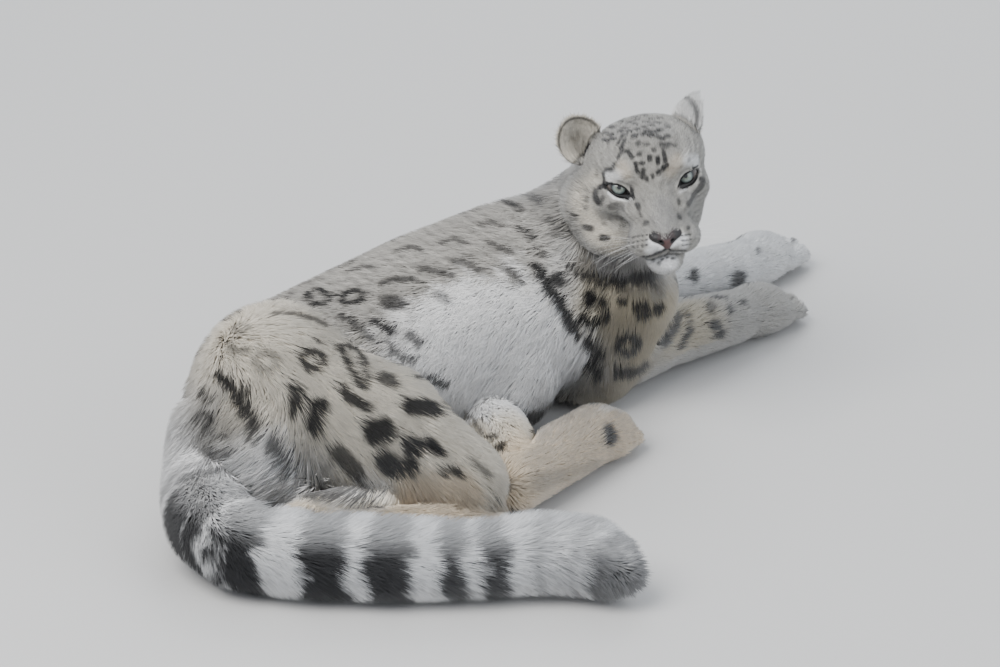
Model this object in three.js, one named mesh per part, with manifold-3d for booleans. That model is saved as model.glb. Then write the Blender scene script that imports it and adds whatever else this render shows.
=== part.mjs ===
// A snow leopard at life size, lying on its left hip with the head raised and turned back.
// Millimetres, +Z up. Every size goes out to the tips of the coat.
// Each sub-part is a skin of rays: a ray leaves the sub-part's own spine in every direction
// and stops where it meets the smooth union of round masses that make up the flesh and coat.
import * as THREE from "three";
import { mergeVertices } from "three/addons/utils/BufferGeometryUtils.js";
import Module from "manifold-3d";

const wasm = await Module();
wasm.setup();

// Driving dimensions
const gap = 0.3; // clearance between sub-parts that touch
const trunkHeight = 250; // height of the lying trunk at the loin
const trunkRadius = trunkHeight / 2;
const tailRadius = 53; // tail with its coat, half way along
const eyeSpacing = 84; // between the pupils
const eyeRadius = 15.5;
const eyeBack = 10; // eyeball centres from the head's own origin
const eyeDown = 3;
const headTurn = 7; // degrees the face is turned, nodded and leaned from facing along -Y
const headNod = -2.1;
const headLean = -8;
const headOrigin = [784.5, 500, 316.5]; // between the brows, just above the eyes
const pawWidth = 86;
const toeCount = 4;

const coat = {
  back: [0xb3ada2, 0.95],
  belly: [0xe9e6e0, 0.95],
  neck: [0xa9a297, 0.95],
  face: [0xc2bbb0, 0.9],
  shoulder: [0xb0a48e, 0.95],
  leg: [0xcfc4ae, 0.95],
  haunch: [0xcdc5b4, 0.95],
  foot: [0xd3c6ab, 0.95],
  tail: [0xa8a6a4, 0.95],
  tailEnd: [0x8d8f92, 0.95],
  ear: [0x9d968c, 0.95],
  noseLeather: [0x8c5f5c, 0.45],
  eye: [0x8f9c88, 0.08],
};

const vec = (p) => new THREE.Vector3(p[0], p[1], p[2]);
const lerp = THREE.MathUtils.lerp;
const radians = THREE.MathUtils.degToRad;
const place = (ball) => ball.slice(0, 3);
const between = (a, b, share, z) => [lerp(a[0], b[0], share), lerp(a[1], b[1], share), z];

// Signed distance to a ball chain: round cones from ball to ball, each ball being [x, y, z, radius]
function chain(...balls) {
  return (p) => {
    let nearest = Infinity;
    for (let i = 0; i + 1 < balls.length; i++) {
      const a = vec(balls[i]);
      const along = vec(balls[i + 1]).sub(a);
      const share = THREE.MathUtils.clamp(p.clone().sub(a).dot(along) / along.lengthSq(), 0, 1);
      const radius = lerp(balls[i][3], balls[i + 1][3], share);
      nearest = Math.min(nearest, p.distanceTo(a.addScaledVector(along, share)) - radius);
    }
    return nearest;
  };
}

// Signed distance, near enough, to an egg of three half sizes, turned about Z by a number of degrees
function egg(centre, half, turn = 0) {
  const middle = vec(centre);
  const upright = new THREE.Vector3(0, 0, 1);
  return (p) => {
    const q = p.clone().sub(middle).applyAxisAngle(upright, -radians(turn));
    const scaled = Math.hypot(q.x / half[0], q.y / half[1], q.z / half[2]);
    const slope = Math.hypot(q.x / half[0] ** 2, q.y / half[1] ** 2, q.z / half[2] ** 2);
    return slope > 0 ? (scaled * (scaled - 1)) / slope : -Math.min(...half);
  };
}

// Smooth union: masses closer than the fillet flow into each other
function flow(fillet, ...masses) {
  return (p) => {
    let joined = masses[0](p);
    for (const mass of masses.slice(1)) {
      const other = mass(p);
      const share = THREE.MathUtils.clamp(0.5 + (other - joined) / (2 * fillet), 0, 1);
      joined = lerp(other, joined, share) - fillet * share * (1 - share);
    }
    return joined;
  };
}

// Smooth hollow: the mass less the hollow, with a rounded brim
function hollow(fillet, mass, dent) {
  return (p) => {
    const inside = mass(p);
    const outside = -dent(p);
    const share = THREE.MathUtils.clamp(0.5 - (outside - inside) / (2 * fillet), 0, 1);
    return lerp(outside, inside, share) + fillet * share * (1 - share);
  };
}

// How far a ray runs inside a mass before it leaves it
function reach(mass, from, direction) {
  const tolerance = 0.02;
  const mostSteps = 90;
  const caution = 0.85;
  const p = from.clone();
  let travelled = 0;
  for (let step = 0; step < mostSteps; step++) {
    const depth = -mass(p);
    if (depth < tolerance) break;
    travelled += depth * caution;
    p.copy(from).addScaledVector(direction, travelled);
  }
  return Math.max(travelled, 1);
}

// Triangles between rows of points. A row of one point is a pole.
function skin(rows) {
  const points = rows.flat();
  const starts = [];
  let start = 0;
  for (const row of rows) {
    starts.push(start);
    start += row.length;
  }
  const faces = [];
  for (let r = 0; r + 1 < rows.length; r++) {
    const low = rows[r].length;
    const high = rows[r + 1].length;
    const sides = Math.max(low, high);
    for (let s = 0; s < sides; s++) {
      const next = (s + 1) % sides;
      const a = starts[r] + (low > 1 ? s : 0);
      const b = starts[r] + (low > 1 ? next : 0);
      const c = starts[r + 1] + (high > 1 ? s : 0);
      const d = starts[r + 1] + (high > 1 ? next : 0);
      if (low > 1) faces.push(a, b, d);
      if (high > 1) faces.push(a, d, c);
    }
  }
  const geometry = new THREE.BufferGeometry().setFromPoints(points);
  geometry.setIndex(faces);
  return geometry;
}

// A sub-part: rays from a curved spine, square to it, with a round end or a flat cut at each end.
// plan = { spine, mass, rings, sides, from, to, startCap, endCap, floor }
function body(plan, growth = 0) {
  const curve = new THREE.CatmullRomCurve3(plan.spine.map(vec), false, "centripetal");
  const length = curve.getLength();
  const up = new THREE.Vector3(0, 0, 1);
  const from = plan.from ?? 0;
  const to = plan.to ?? 1;
  const trim = (gap / 2 - growth) / length;
  const floor = plan.floor === false ? -Infinity : -growth;
  const rows = [];
  const row = (share, tilt) => {
    const place = THREE.MathUtils.clamp(share, 0, 1);
    const centre = curve.getPointAt(place);
    const ahead = curve.getTangentAt(place);
    centre.addScaledVector(ahead, (share - place) * length);
    const side = new THREE.Vector3().crossVectors(up, ahead).normalize();
    const top = new THREE.Vector3().crossVectors(ahead, side).normalize();
    const pole = Math.abs(Math.abs(tilt) - Math.PI / 2) < 1e-6;
    const points = [];
    for (let s = 0; s < (pole ? 1 : plan.sides); s++) {
      const angle = (2 * Math.PI * s) / plan.sides;
      const direction = side
        .clone()
        .multiplyScalar(Math.cos(angle) * Math.cos(tilt))
        .addScaledVector(top, Math.sin(angle) * Math.cos(tilt))
        .addScaledVector(ahead, Math.sin(tilt));
      const point = centre.clone().addScaledVector(direction, reach(plan.mass, centre, direction) + growth);
      point.z = Math.max(point.z, floor);
      points.push(point);
    }
    rows.push(points);
    return centre;
  };
  const startCap = plan.startCap ?? 0;
  const endCap = plan.endCap ?? 0;
  const low = startCap ? from : from + trim;
  const high = endCap ? to : to - trim;
  for (let k = startCap; k > 0; k--) row(from, (-Math.PI / 2) * (k / startCap));
  for (let k = 0; k <= plan.rings; k++) {
    const centre = row(lerp(low, high, k / plan.rings), 0);
    if (k === 0 && !startCap) rows.unshift([centre]);
    if (k === plan.rings && !endCap) rows.push([centre]);
  }
  for (let k = 1; k <= endCap; k++) row(to, (Math.PI / 2) * (k / endCap));
  return skin(rows);
}

// Booleans
function solid(geometry) {
  const merged = mergeVertices(geometry, 1e-3);
  return new wasm.Manifold(
    new wasm.Mesh({
      numProp: 3,
      vertProperties: new Float32Array(merged.attributes.position.array),
      triVerts: new Uint32Array(merged.index.array),
    }),
  );
}

function geometryOf(manifold) {
  const mesh = manifold.getMesh();
  const geometry = new THREE.BufferGeometry();
  geometry.setAttribute("position", new THREE.BufferAttribute(new Float32Array(mesh.vertProperties), 3));
  geometry.setIndex([...mesh.triVerts]);
  return geometry;
}

// A cut can leave crumbs: the biggest piece is the sub-part
function biggest(manifold) {
  return manifold.decompose().reduce((a, b) => (a.volume() > b.volume() ? a : b));
}

// Trunk and neck, from the rump to the back of the skull
const rump = [330, 250, 114, 106];
const pelvis = [355, 298, 124, 120];
const loin = [414, 355, trunkRadius - 1, trunkRadius];
const midriff = [532, 480, trunkRadius + 1, trunkRadius + 4];
const ribs = [636, 576, 127, 129];
const neckBase = [696, 606, 176, 98];
const neckMiddle = [740, 606, 232, 78];
const nape = [770, 590, 288, 68];
const belly = egg([588, 470, 84], [92, 88, 84], 42);
const brisket = [708, 634, 138, 98];
const chestFront = egg([732, 640, 122], [74, 82, 90], 42);
const throat = egg([758, 580, 200], [52, 52, 56]);
const trunkMass = flow(30, chain(rump, pelvis, loin, midriff, ribs, brisket), belly, chestFront);
const trunkSpine = [rump, pelvis, loin, midriff, ribs, brisket].map(place);
const trunkSides = 16;
const trunkRings = 12; // from end to end
const trunkCuts = { hips: [0, 0.27], loin: [0.27, 0.57], chest: [0.57, 1] };
const neckMass = flow(24, chain(neckBase, neckMiddle, nape), throat);
const neckPlan = {
  spine: [neckBase, neckMiddle, nape].map(place),
  mass: neckMass,
  rings: 5,
  sides: 18,
  startCap: 3,
  endCap: 3,
};

// Tail, from the rump round the left and along the front
const tailBalls = [
  [296, 285, 142, 56],
  [274, 250, 122, 58],
  [268, 208, 92, 59],
  [265, 160, 72, 58],
  [271, 110, 62, 57],
  [304, 64, 57, 56],
  [366, 44, 54, 54],
  [474, 34, 53, tailRadius],
  [572, 38, 50, 49],
  [643, 50, 52, 51],
  [700, 42, 52, 50],
  [740, 20, 44, 40],
];
const tailSpine = tailBalls.map(place);
const tailParts = 5;
const tailSides = 10;

// Head in its own frame: origin between the brows, +X to its left, +Y back, +Z up
const headPlace = new THREE.Matrix4().compose(
  vec(headOrigin),
  new THREE.Quaternion()
    .setFromAxisAngle(new THREE.Vector3(0, 1, 0), radians(headLean))
    .multiply(new THREE.Quaternion().setFromAxisAngle(new THREE.Vector3(1, 0, 0), radians(headNod)))
    .multiply(new THREE.Quaternion().setFromAxisAngle(new THREE.Vector3(0, 0, 1), radians(headTurn))),
  new THREE.Vector3(1, 1, 1),
);
const both = (make) => [make(-1), make(1)];
const skull = flow(
  16,
  egg([0, 54, 10], [76, 74, 54]),
  egg([0, 26, 26], [50, 38, 34]),
  ...both((s) => egg([s * 31, 6, 21], [21, 18, 15])),
  egg([-50, 14, -17], [27, 28, 22]),
  egg([44, 14, -17], [26, 28, 22]),
  egg([-66, 50, -34], [46, 46, 54]),
  egg([39, 42, -22], [31, 46, 42]),
  egg([-54, 30, -62], [46, 42, 36]),
  ...both((s) => egg([s * 26, -12, -24], [19, 25, 19])),
  egg([27, 20, -50], [31, 36, 32]),
  egg([0, -6, -60], [38, 46, 32]),
);
const muzzle = flow(
  9,
  chain([0, 10, -8, 26], [0, -30, -31, 25], [0, -56, -49, 20]),
  ...both((s) => egg([s * 20.5, -46, -55], [24, 27, 20])),
  egg([-2, -40, -85], [22, 23, 17]),
);
const sockets = flow(
  4,
  ...both((s) => egg([s * 44, -25, -eyeDown], [23, 25, 14])),
);
const headMass = hollow(8, flow(20, skull, muzzle), sockets);

// A foot's frame: heel at the origin, toes along +X, pads down
function footPlace(heel, toward) {
  const turn = Math.atan2(toward[1] - heel[1], toward[0] - heel[0]);
  return { heel, turn, length: Math.hypot(toward[0] - heel[0], toward[1] - heel[1]) };
}

// Toes spread across the end of a foot, each a short ball chain of three balls:
// how far short of the tip, height as a share of the foot's, and what is added to the toe's radius
const toeBalls = [
  [62, 0.62, 0],
  [30, 0.6, 2],
  [15, 0.36, -2],
];
const toeFullness = 5.75; // foot width over toe radius
const outerToeSetBack = 10;

function toes(foot, width, height) {
  const radius = width / toeFullness;
  const made = [];
  for (let i = 0; i < toeCount; i++) {
    const across = ((i + 0.5) / toeCount - 0.5) * (width - radius);
    const outer = i === 0 || i === toeCount - 1;
    const tip = foot.length - (outer ? outerToeSetBack : 0);
    const at = (along, z, r) => {
      const x = foot.heel[0] + Math.cos(foot.turn) * along - Math.sin(foot.turn) * across;
      const y = foot.heel[1] + Math.sin(foot.turn) * along + Math.cos(foot.turn) * across;
      return [x, y, z, r];
    };
    const balls = toeBalls.map(([short, share, extra]) => at(tip - short, height * share, radius + extra));
    made.push(chain(...balls));
  }
  return flow(4, ...made);
}

// A forelimb below the elbow: forearm, wrist, broad pad and four toes
function forelimb(forearm, wrist, tip) {
  const foot = footPlace(wrist, tip);
  const turn = THREE.MathUtils.radToDeg(foot.turn);
  const pad = between(wrist, tip, 0.42, 32);
  const palm = egg(pad, [50, pawWidth / 2 - 1, 33], turn);
  const arm = chain(...forearm, [...wrist, 36], [...pad, 30]);
  return {
    spine: [...forearm.map(place), wrist, pad, between(wrist, tip, 0.62, 26)],
    mass: flow(10, arm, palm, toes(foot, pawWidth, 40)),
  };
}

// A hind foot: heel, long instep and four toes
function hindFoot(heel, tip, instep) {
  const foot = footPlace(heel, tip);
  const at = (share, z) => [lerp(heel[0], tip[0], share), lerp(heel[1], tip[1], share), z];
  const instepMass = chain([...heel, 38], [...at(0.35, 42), instep], [...at(0.66, 38), instep - 1]);
  const palm = egg(at(0.74, 32), [46, pawWidth / 2 - 4, 32], THREE.MathUtils.radToDeg(foot.turn));
  const mass = flow(10, instepMass, palm, toes(foot, pawWidth - 6, 38));
  return { spine: [heel, at(0.35, 40), at(0.66, 34), at(0.8, 26)], mass };
}

const shoulderRight = [742, 582, 134, 78];
const elbowRight = [716, 548, 58, 55];
const wristRight = [884, 706, 42];
const pawTipRight = [976, 822, 30];
const shoulderLeft = [704, 682, 132, 76];
const elbowLeft = [728, 728, 58, 54];
const wristLeft = [895, 854, 42];
const pawTipLeft = [984, 992, 30];
const hipRight = [345, 282, 150, 104];
const thighRight = [452, 234, 112, 92];
const kneeRight = [553, 186, 72, 60];
const hockRight = [390, 134, 46];
const hindTipRight = [648, 134, 28];
const hipLeft = [372, 340, 86, 84];
const kneeLeft = [560, 424, 62, 56];
const hockLeft = [620, 248, 44];
const hindTipLeft = [764, 458, 28];

const round = { startCap: 3, endCap: 3 };

// Upper limb lengths: shoulder to elbow, hip to knee, knee to hock
const limbs = {
  thigh_right: {
    spine: [place(hipRight), place(thighRight), place(kneeRight)],
    mass: chain(hipRight, thighRight, kneeRight),
    rings: 6,
    sides: 16,
    ...round,
    finish: coat.haunch,
  },
  upper_arm_right: {
    spine: [place(shoulderRight), between(shoulderRight, elbowRight, 0.5, 98), place(elbowRight)],
    mass: flow(20, chain(shoulderRight, elbowRight), egg([700, 566, 140], [70, 60, 66], 42)),
    rings: 4,
    sides: 14,
    ...round,
    finish: coat.shoulder,
  },
  upper_arm_left: {
    spine: [place(shoulderLeft), between(shoulderLeft, elbowLeft, 0.5, 96), place(elbowLeft)],
    mass: chain(shoulderLeft, elbowLeft),
    rings: 3,
    sides: 14,
    ...round,
    finish: coat.shoulder,
  },
  thigh_left: {
    spine: [place(hipLeft), [466, 386, 74], place(kneeLeft)],
    mass: chain(hipLeft, [466, 386, 74, 76], kneeLeft),
    rings: 4,
    sides: 14,
    ...round,
    finish: coat.haunch,
  },
  shank_right: {
    spine: [[546, 202, 78], [468, 170, 66], [396, 142, 52]],
    mass: chain([546, 202, 78, 50], [468, 170, 66, 44], [396, 142, 52, 33]),
    rings: 4,
    sides: 12,
    ...round,
    finish: coat.haunch,
  },
  shank_left: {
    spine: [[564, 420, 62], [600, 330, 56], [619, 258, 48]],
    mass: chain([564, 420, 62, 50], [600, 330, 56, 44], [619, 258, 48, 33]),
    rings: 4,
    sides: 12,
    ...round,
    finish: coat.leg,
  },
  hind_foot_left: {
    ...hindFoot(hockLeft, hindTipLeft, 39),
    rings: 5,
    sides: 14,
    startCap: 3,
    endCap: 6,
    finish: coat.foot,
  },
  hind_foot_right: {
    ...hindFoot(hockRight, hindTipRight, 37),
    rings: 5,
    sides: 14,
    startCap: 3,
    endCap: 6,
    finish: coat.foot,
  },
};

// Forearm and forepaw are one skin of rays, cut square across the wrist
const forelimbs = {
  right: forelimb([[716, 550, 55, 48], [800, 636, 52, 43]], wristRight, pawTipRight),
  left: forelimb([[728, 728, 56, 48], [812, 786, 50, 41]], wristLeft, pawTipLeft),
};
const wristShare = 0.7;

// A ball scaled to an egg, in the head's frame
function headBall(half, centre, sides, rings) {
  const geometry = new THREE.SphereGeometry(1, sides, rings);
  geometry.deleteAttribute("normal");
  geometry.deleteAttribute("uv");
  geometry.scale(...half);
  geometry.translate(...centre);
  return geometry.applyMatrix4(headPlace);
}

// The eyes are whole balls, most of each inside the head and a little nearer the middle than the pupils
function eyeBall(side, growth) {
  const inward = 1.5;
  const radius = eyeRadius + growth;
  const centre = [side * (eyeSpacing / 2 - inward), eyeBack, -eyeDown];
  return headBall([radius, radius, radius], centre, 12, 8);
}

// The head, opened between the lids of each eye
function head(growth) {
  const openingHalf = [13, 20, 8];
  const openingFront = 22; // its middle, ahead of the eyeball's
  let shape = solid(body(headPlan, growth).applyMatrix4(headPlace));
  for (const side of [-1, 1]) {
    const centre = [side * (eyeSpacing / 2 + 1), eyeBack - openingFront, -eyeDown];
    shape = shape.subtract(solid(headBall(openingHalf, centre, 8, 4)));
  }
  return geometryOf(biggest(shape));
}

// The nose leather: a small wedge of rays on the end of the bridge
function nosePad(growth) {
  const mass = flow(
    5,
    ...both((s) => egg([s * 11, -64, -43], [9, 11, 7])),
    egg([0, -66, -47], [12, 13, 9]),
    egg([0, -65, -54], [5, 10, 7]),
  );
  const plan = { spine: [[0, -56, -45], [0, -66, -47]], mass, rings: 2, sides: 14, floor: false };
  return body({ ...plan, startCap: 3, endCap: 4 }, growth).applyMatrix4(headPlace);
}

// An ear: a dish with a rounded outline. Rows run from the middle of its back,
// over the rim, to the middle of its hollow face. It leans out and is turned about its own height.
function ear(side, turn, centre, growth) {
  const halfWidth = 28;
  const height = 34;
  const depth = 15;
  const wall = 7;
  const sides = 16;
  const rowsEachSide = 3;
  const rows = [];
  for (let r = 0; r <= 2 * rowsEachSide + 1; r++) {
    const back = r <= rowsEachSide;
    const share = back ? r / rowsEachSide : (2 * rowsEachSide + 1 - r) / rowsEachSide;
    const bend = depth * (1 - share * share);
    const y = back ? bend + wall / 2 + growth : bend * 0.9 - wall / 2 - growth;
    const points = [];
    for (let s = 0; s < (share === 0 ? 1 : sides); s++) {
      const angle = (2 * Math.PI * s) / sides;
      const narrowing = 1 - 0.12 * Math.max(Math.sin(angle), 0) ** 2;
      const x = (halfWidth * narrowing + growth) * share * Math.cos(angle);
      const z = (height + growth) * share * Math.sin(angle);
      points.push(new THREE.Vector3(x, y, z));
    }
    rows.push(points);
  }
  const geometry = skin(rows);
  geometry.rotateZ(radians(turn));
  geometry.rotateY(radians(side * 24));
  geometry.translate(...centre);
  return geometry.applyMatrix4(headPlace);
}

const headPlan = {
  spine: [[0, 70, 2], [0, 30, -6], [0, -10, -22], [0, -40, -42]],
  mass: headMass,
  rings: 8,
  sides: 28,
  startCap: 3,
  endCap: 6,
  floor: false,
};

// Every sub-part in order of precedence: a later one gives way to those before it
const plans = [];
const add = (name, make, finish, family = name) => plans.push({ name, make, finish, family });
add("eye_right", (g) => eyeBall(-1, g), coat.eye);
add("eye_left", (g) => eyeBall(1, g), coat.eye);
add("nose", (g) => nosePad(g), coat.noseLeather);
add("head", (g) => head(g), coat.face);
add("ear_right", (g) => ear(-1, 8, [-73, 68, 41], g), coat.ear);
add("ear_left", (g) => ear(1, 118, [57, 74, 37], g), coat.ear);
for (const [name, plan] of Object.entries(limbs)) add(name, (g) => body(plan, g), plan.finish);
for (const [side, limb] of Object.entries(forelimbs)) {
  const plan = { ...limb, sides: 14 };
  const forearm = { ...plan, to: wristShare, rings: 5, startCap: 3 };
  const paw = { ...plan, from: wristShare, rings: 4, endCap: 7 };
  add("forearm_" + side, (g) => body(forearm, g), coat.leg, "forelimb_" + side);
  add("forepaw_" + side, (g) => body(paw, g), coat.foot, "forelimb_" + side);
}
add("neck", (g) => body(neckPlan, g), coat.neck);
for (const [name, [from, to]] of Object.entries(trunkCuts)) {
  const plan = { spine: trunkSpine, mass: trunkMass, sides: trunkSides, from, to };
  plan.rings = Math.round((to - from) * trunkRings);
  plan.startCap = from === 0 ? 4 : 0;
  plan.endCap = to === 1 ? 4 : 0;
  const finish = name === "chest" ? coat.belly : coat.back;
  add(name, (g) => body(plan, g), finish, "trunk");
}
for (let i = 0; i < tailParts; i++) {
  const plan = { spine: tailSpine, mass: chain(...tailBalls), sides: tailSides, rings: 5 };
  plan.from = i / tailParts;
  plan.to = (i + 1) / tailParts;
  plan.startCap = i === 0 ? 3 : 0;
  plan.endCap = i === tailParts - 1 ? 5 : 0;
  const finish = i < tailParts - 1 ? coat.tail : coat.tailEnd;
  add("tail_" + (i + 1), (g) => body(plan, g), finish, "tail");
}

const leopard = new THREE.Group();
leopard.name = "snow_leopard";
const grown = [];
for (const { name, make, finish, family } of plans) {
  let shape = solid(make(0));
  const box = shape.boundingBox();
  for (const other of grown) {
    if (other.family === family) continue;
    const apart = [0, 1, 2].some((k) => other.box.min[k] > box.max[k] || other.box.max[k] < box.min[k]);
    if (!apart) shape = shape.subtract(other.shape);
  }
  const [color, roughness] = finish;
  const material = new THREE.MeshStandardMaterial({ color, roughness, metalness: 0 });
  const mesh = new THREE.Mesh(geometryOf(biggest(shape)), material);
  mesh.name = name;
  leopard.add(mesh);
  const wide = solid(make(gap + 0.1));
  grown.push({ family, shape: wide, box: wide.boundingBox() });
}

// The origin is on the floor under the middle of the box round the whole animal
const bounds = new THREE.Box3().setFromObject(leopard);
const middle = bounds.getCenter(new THREE.Vector3());
for (const mesh of leopard.children) mesh.geometry.translate(-middle.x, -middle.y, -bounds.min.z);

export default leopard;
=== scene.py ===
import math
import bpy
import bmesh
import numpy as np
from mathutils import Matrix, Vector


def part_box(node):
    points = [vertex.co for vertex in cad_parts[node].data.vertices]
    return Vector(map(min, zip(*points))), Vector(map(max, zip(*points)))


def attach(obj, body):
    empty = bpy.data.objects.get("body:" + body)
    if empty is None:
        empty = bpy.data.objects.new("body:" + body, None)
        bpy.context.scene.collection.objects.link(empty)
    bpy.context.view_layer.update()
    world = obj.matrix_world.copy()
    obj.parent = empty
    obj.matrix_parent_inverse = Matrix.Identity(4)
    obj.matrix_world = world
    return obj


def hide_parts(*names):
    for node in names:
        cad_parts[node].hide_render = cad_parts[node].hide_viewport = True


# A snow leopard lying on its left hip, head turned back over the right shoulder.
# The flesh is a set of round masses that flow together. One skin is drawn over them,
# and a coat of tufts stands on the skin out to the surface of the CAD model.
# Masses are in millimetres in the layout they were measured in: `toFrame` moves them to the frame.
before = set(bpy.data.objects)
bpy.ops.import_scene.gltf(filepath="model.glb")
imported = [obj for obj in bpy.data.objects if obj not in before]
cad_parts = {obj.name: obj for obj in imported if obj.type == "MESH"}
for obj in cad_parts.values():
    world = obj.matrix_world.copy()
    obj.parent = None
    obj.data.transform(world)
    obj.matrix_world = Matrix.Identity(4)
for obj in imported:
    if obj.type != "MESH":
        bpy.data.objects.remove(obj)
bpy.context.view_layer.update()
mm = 0.001


def stage(text):
    print("leopard:", text)


# Where the layout lies in the frame: the middle of the two eyes is known in both
headPose = {
    "middle": np.array([784.5, 500.0, 316.5]),  # between the brows
    "turn": 7.0,
    "nod": -2.1,
    "lean": -8.0,
    "eyeMiddle": np.array([0.0, 10.0, -3.0]),  # centre between the eyeballs, in the head's own axes
}


def turnMatrix(axis, degrees):
    return np.array(Matrix.Rotation(math.radians(degrees), 3, axis))


headLeant = turnMatrix("Y", headPose["lean"]) @ turnMatrix("X", headPose["nod"])
headTurn = headLeant @ turnMatrix("Z", headPose["turn"])


def fromHead(points):
    return np.asarray(points, float) @ headTurn.T + headPose["middle"]


def toHead(points):
    return (points - headPose["middle"]) @ headTurn


eyeBoxes = [np.array(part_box(name)) for name in ("eye_right", "eye_left")]
eyesInFrame = np.mean([box.mean(axis=0) for box in eyeBoxes], axis=0) / mm
frameShift = fromHead(headPose["eyeMiddle"]) - eyesInFrame
frameShift[2] = 0.0


def toFrame(points):
    return (np.asarray(points, float) - frameShift) * mm


# The camera: the photo's angle and its scale at the animal
view = {
    "aim": np.array([602.4, 495.0, 120.0]),  # layout point at the middle of the picture
    "elevation": 25.0,
    "distance": 7000.0,
    "pixelsPerMm": 0.83,
    "width": 1000,
    "height": 667,
    "sensor": 36.0,
}
elevation = math.radians(view["elevation"])
towardCamera = np.array([0.0, -math.cos(elevation), math.sin(elevation)])
viewUp = np.array([0.0, math.sin(elevation), math.cos(elevation)])
cameraPlace = view["aim"] + towardCamera * view["distance"]
focalPixels = view["pixelsPerMm"] * view["distance"]


def toPixels(points):
    offset = points - cameraPlace
    depth = -(offset @ towardCamera)
    x = view["width"] / 2 + focalPixels * offset[:, 0] / depth
    y = view["height"] / 2 - focalPixels * (offset @ viewUp) / depth
    return x, y


def pixelRay(x, y):
    ray = -towardCamera + np.array([1.0, 0, 0]) * (x - view["width"] / 2) / focalPixels
    ray = ray + viewUp * (view["height"] / 2 - y) / focalPixels
    return cameraPlace, ray / np.linalg.norm(ray)


def makeCamera():
    data = bpy.data.cameras.new("camera")
    data.sensor_width = view["sensor"]
    data.lens = view["sensor"] * focalPixels / view["width"]
    data.clip_end = 50
    camera = bpy.data.objects.new("camera", data)
    camera.location = toFrame(cameraPlace)
    camera.rotation_euler = (math.pi / 2 - elevation, 0, 0)
    bpy.context.scene.collection.objects.link(camera)
    bpy.context.scene.camera = camera


studio = {
    "floorHalf": 9.0,
    "floorColour": (0.56, 0.555, 0.545, 1),
    "worldColour": (0.80, 0.85, 0.93, 1),
    "worldStrength": 0.95,
    # name: place, aim, size, power, colour
    "key": ((-1.6, -1.8, 3.2), (0.05, 0.0, 0.1), 2.6, 180, (1.0, 0.98, 0.955)),
    "fill": ((2.4, -2.2, 1.6), (0.1, 0.0, 0.15), 2.4, 46, (0.94, 0.97, 1.0)),
    "rim": ((0.4, 2.6, 2.4), (0.0, 0.1, 0.15), 2.2, 55, (0.95, 0.98, 1.0)),
}


def makeStudio():
    half = studio["floorHalf"]
    mesh = bpy.data.meshes.new("floor")
    corners = [(-half, -half, 0), (half, -half, 0), (half, half, 0), (-half, half, 0)]
    mesh.from_pydata(corners, [], [(0, 1, 2, 3)])
    floor = bpy.data.objects.new("floor", mesh)
    bpy.context.scene.collection.objects.link(floor)
    paper = bpy.data.materials.new("floor_paper")
    paper.use_nodes = True
    shader = paper.node_tree.nodes["Principled BSDF"]
    shader.inputs["Base Color"].default_value = studio["floorColour"]
    shader.inputs["Roughness"].default_value = 0.9
    mesh.materials.append(paper)
    for name in ("key", "fill", "rim"):
        place, aim, size, power, colour = studio[name]
        light = bpy.data.lights.new(name, "AREA")
        light.size = size
        light.energy = power
        light.color = colour
        lamp = bpy.data.objects.new(name, light)
        lamp.location = place
        lamp.rotation_euler = (Vector(aim) - Vector(place)).to_track_quat("-Z", "Y").to_euler()
        bpy.context.scene.collection.objects.link(lamp)
    world = bpy.data.worlds.new("soft_sky")
    world.use_nodes = True
    sky = world.node_tree.nodes["Background"]
    sky.inputs["Color"].default_value = studio["worldColour"]
    sky.inputs["Strength"].default_value = studio["worldStrength"]
    bpy.context.scene.world = world


makeCamera()
makeStudio()
stage("camera and lights")


# Masses. Each is a function from points to signed distances, negative inside.
# chain: round cones from ball to ball, the radius changing in step with the place along the axis
def chain(*balls):
    balls = np.array(balls, float)

    def distance(p):
        nearest = np.full(len(p), np.inf)
        for a, b in zip(balls[:-1], balls[1:]):
            along = b[:3] - a[:3]
            share = np.clip((p - a[:3]) @ along / (along @ along), 0, 1)
            axis = a[:3] + share[:, None] * along
            nearest = np.minimum(nearest, np.linalg.norm(p - axis, axis=1) - (a[3] + share * (b[3] - a[3])))
        return nearest

    distance.balls = balls
    return distance


# egg: the scaled radius k1 = |q / half| and its slope k2 = |q / half squared| give k1 (k1 - 1) / k2
def egg(centre, half, turn=0.0, inHead=False):
    centre = np.array(centre, float)
    half = np.array(half, float)
    spin = turnMatrix("Z", turn)
    if inHead:
        centre = fromHead(centre)
        spin = headTurn @ spin

    def distance(p):
        q = (p - centre) @ spin
        scaled = np.linalg.norm(q / half, axis=1)
        slope = np.linalg.norm(q / half**2, axis=1)
        return scaled * (scaled - 1) / np.maximum(slope, 1e-9)

    distance.egg = (centre, half, spin)
    return distance


# flow: smooth union, joined within a fillet
def blendUnion(a, b, fillet):
    share = np.clip(0.5 + (b - a) / (2 * fillet), 0, 1)
    return b + (a - b) * share - fillet * share * (1 - share)


def blendCut(a, dent, fillet):
    share = np.clip(0.5 - (-dent - a) / (2 * fillet), 0, 1)
    return -dent + (a + dent) * share + fillet * share * (1 - share)


def flow(fillet, *masses):
    def distance(p):
        joined = masses[0](p)
        for mass in masses[1:]:
            joined = blendUnion(joined, mass(p), fillet)
        return joined

    distance.masses = masses
    return distance


def headChain(*balls):
    moved = [[*fromHead(ball[:3]), ball[3]] for ball in balls]
    return chain(*moved)


def headEgg(centre, half, turn=0.0):
    return egg(centre, half, turn, inHead=True)


def both(make):
    return [make(-1), make(1)]


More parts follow.
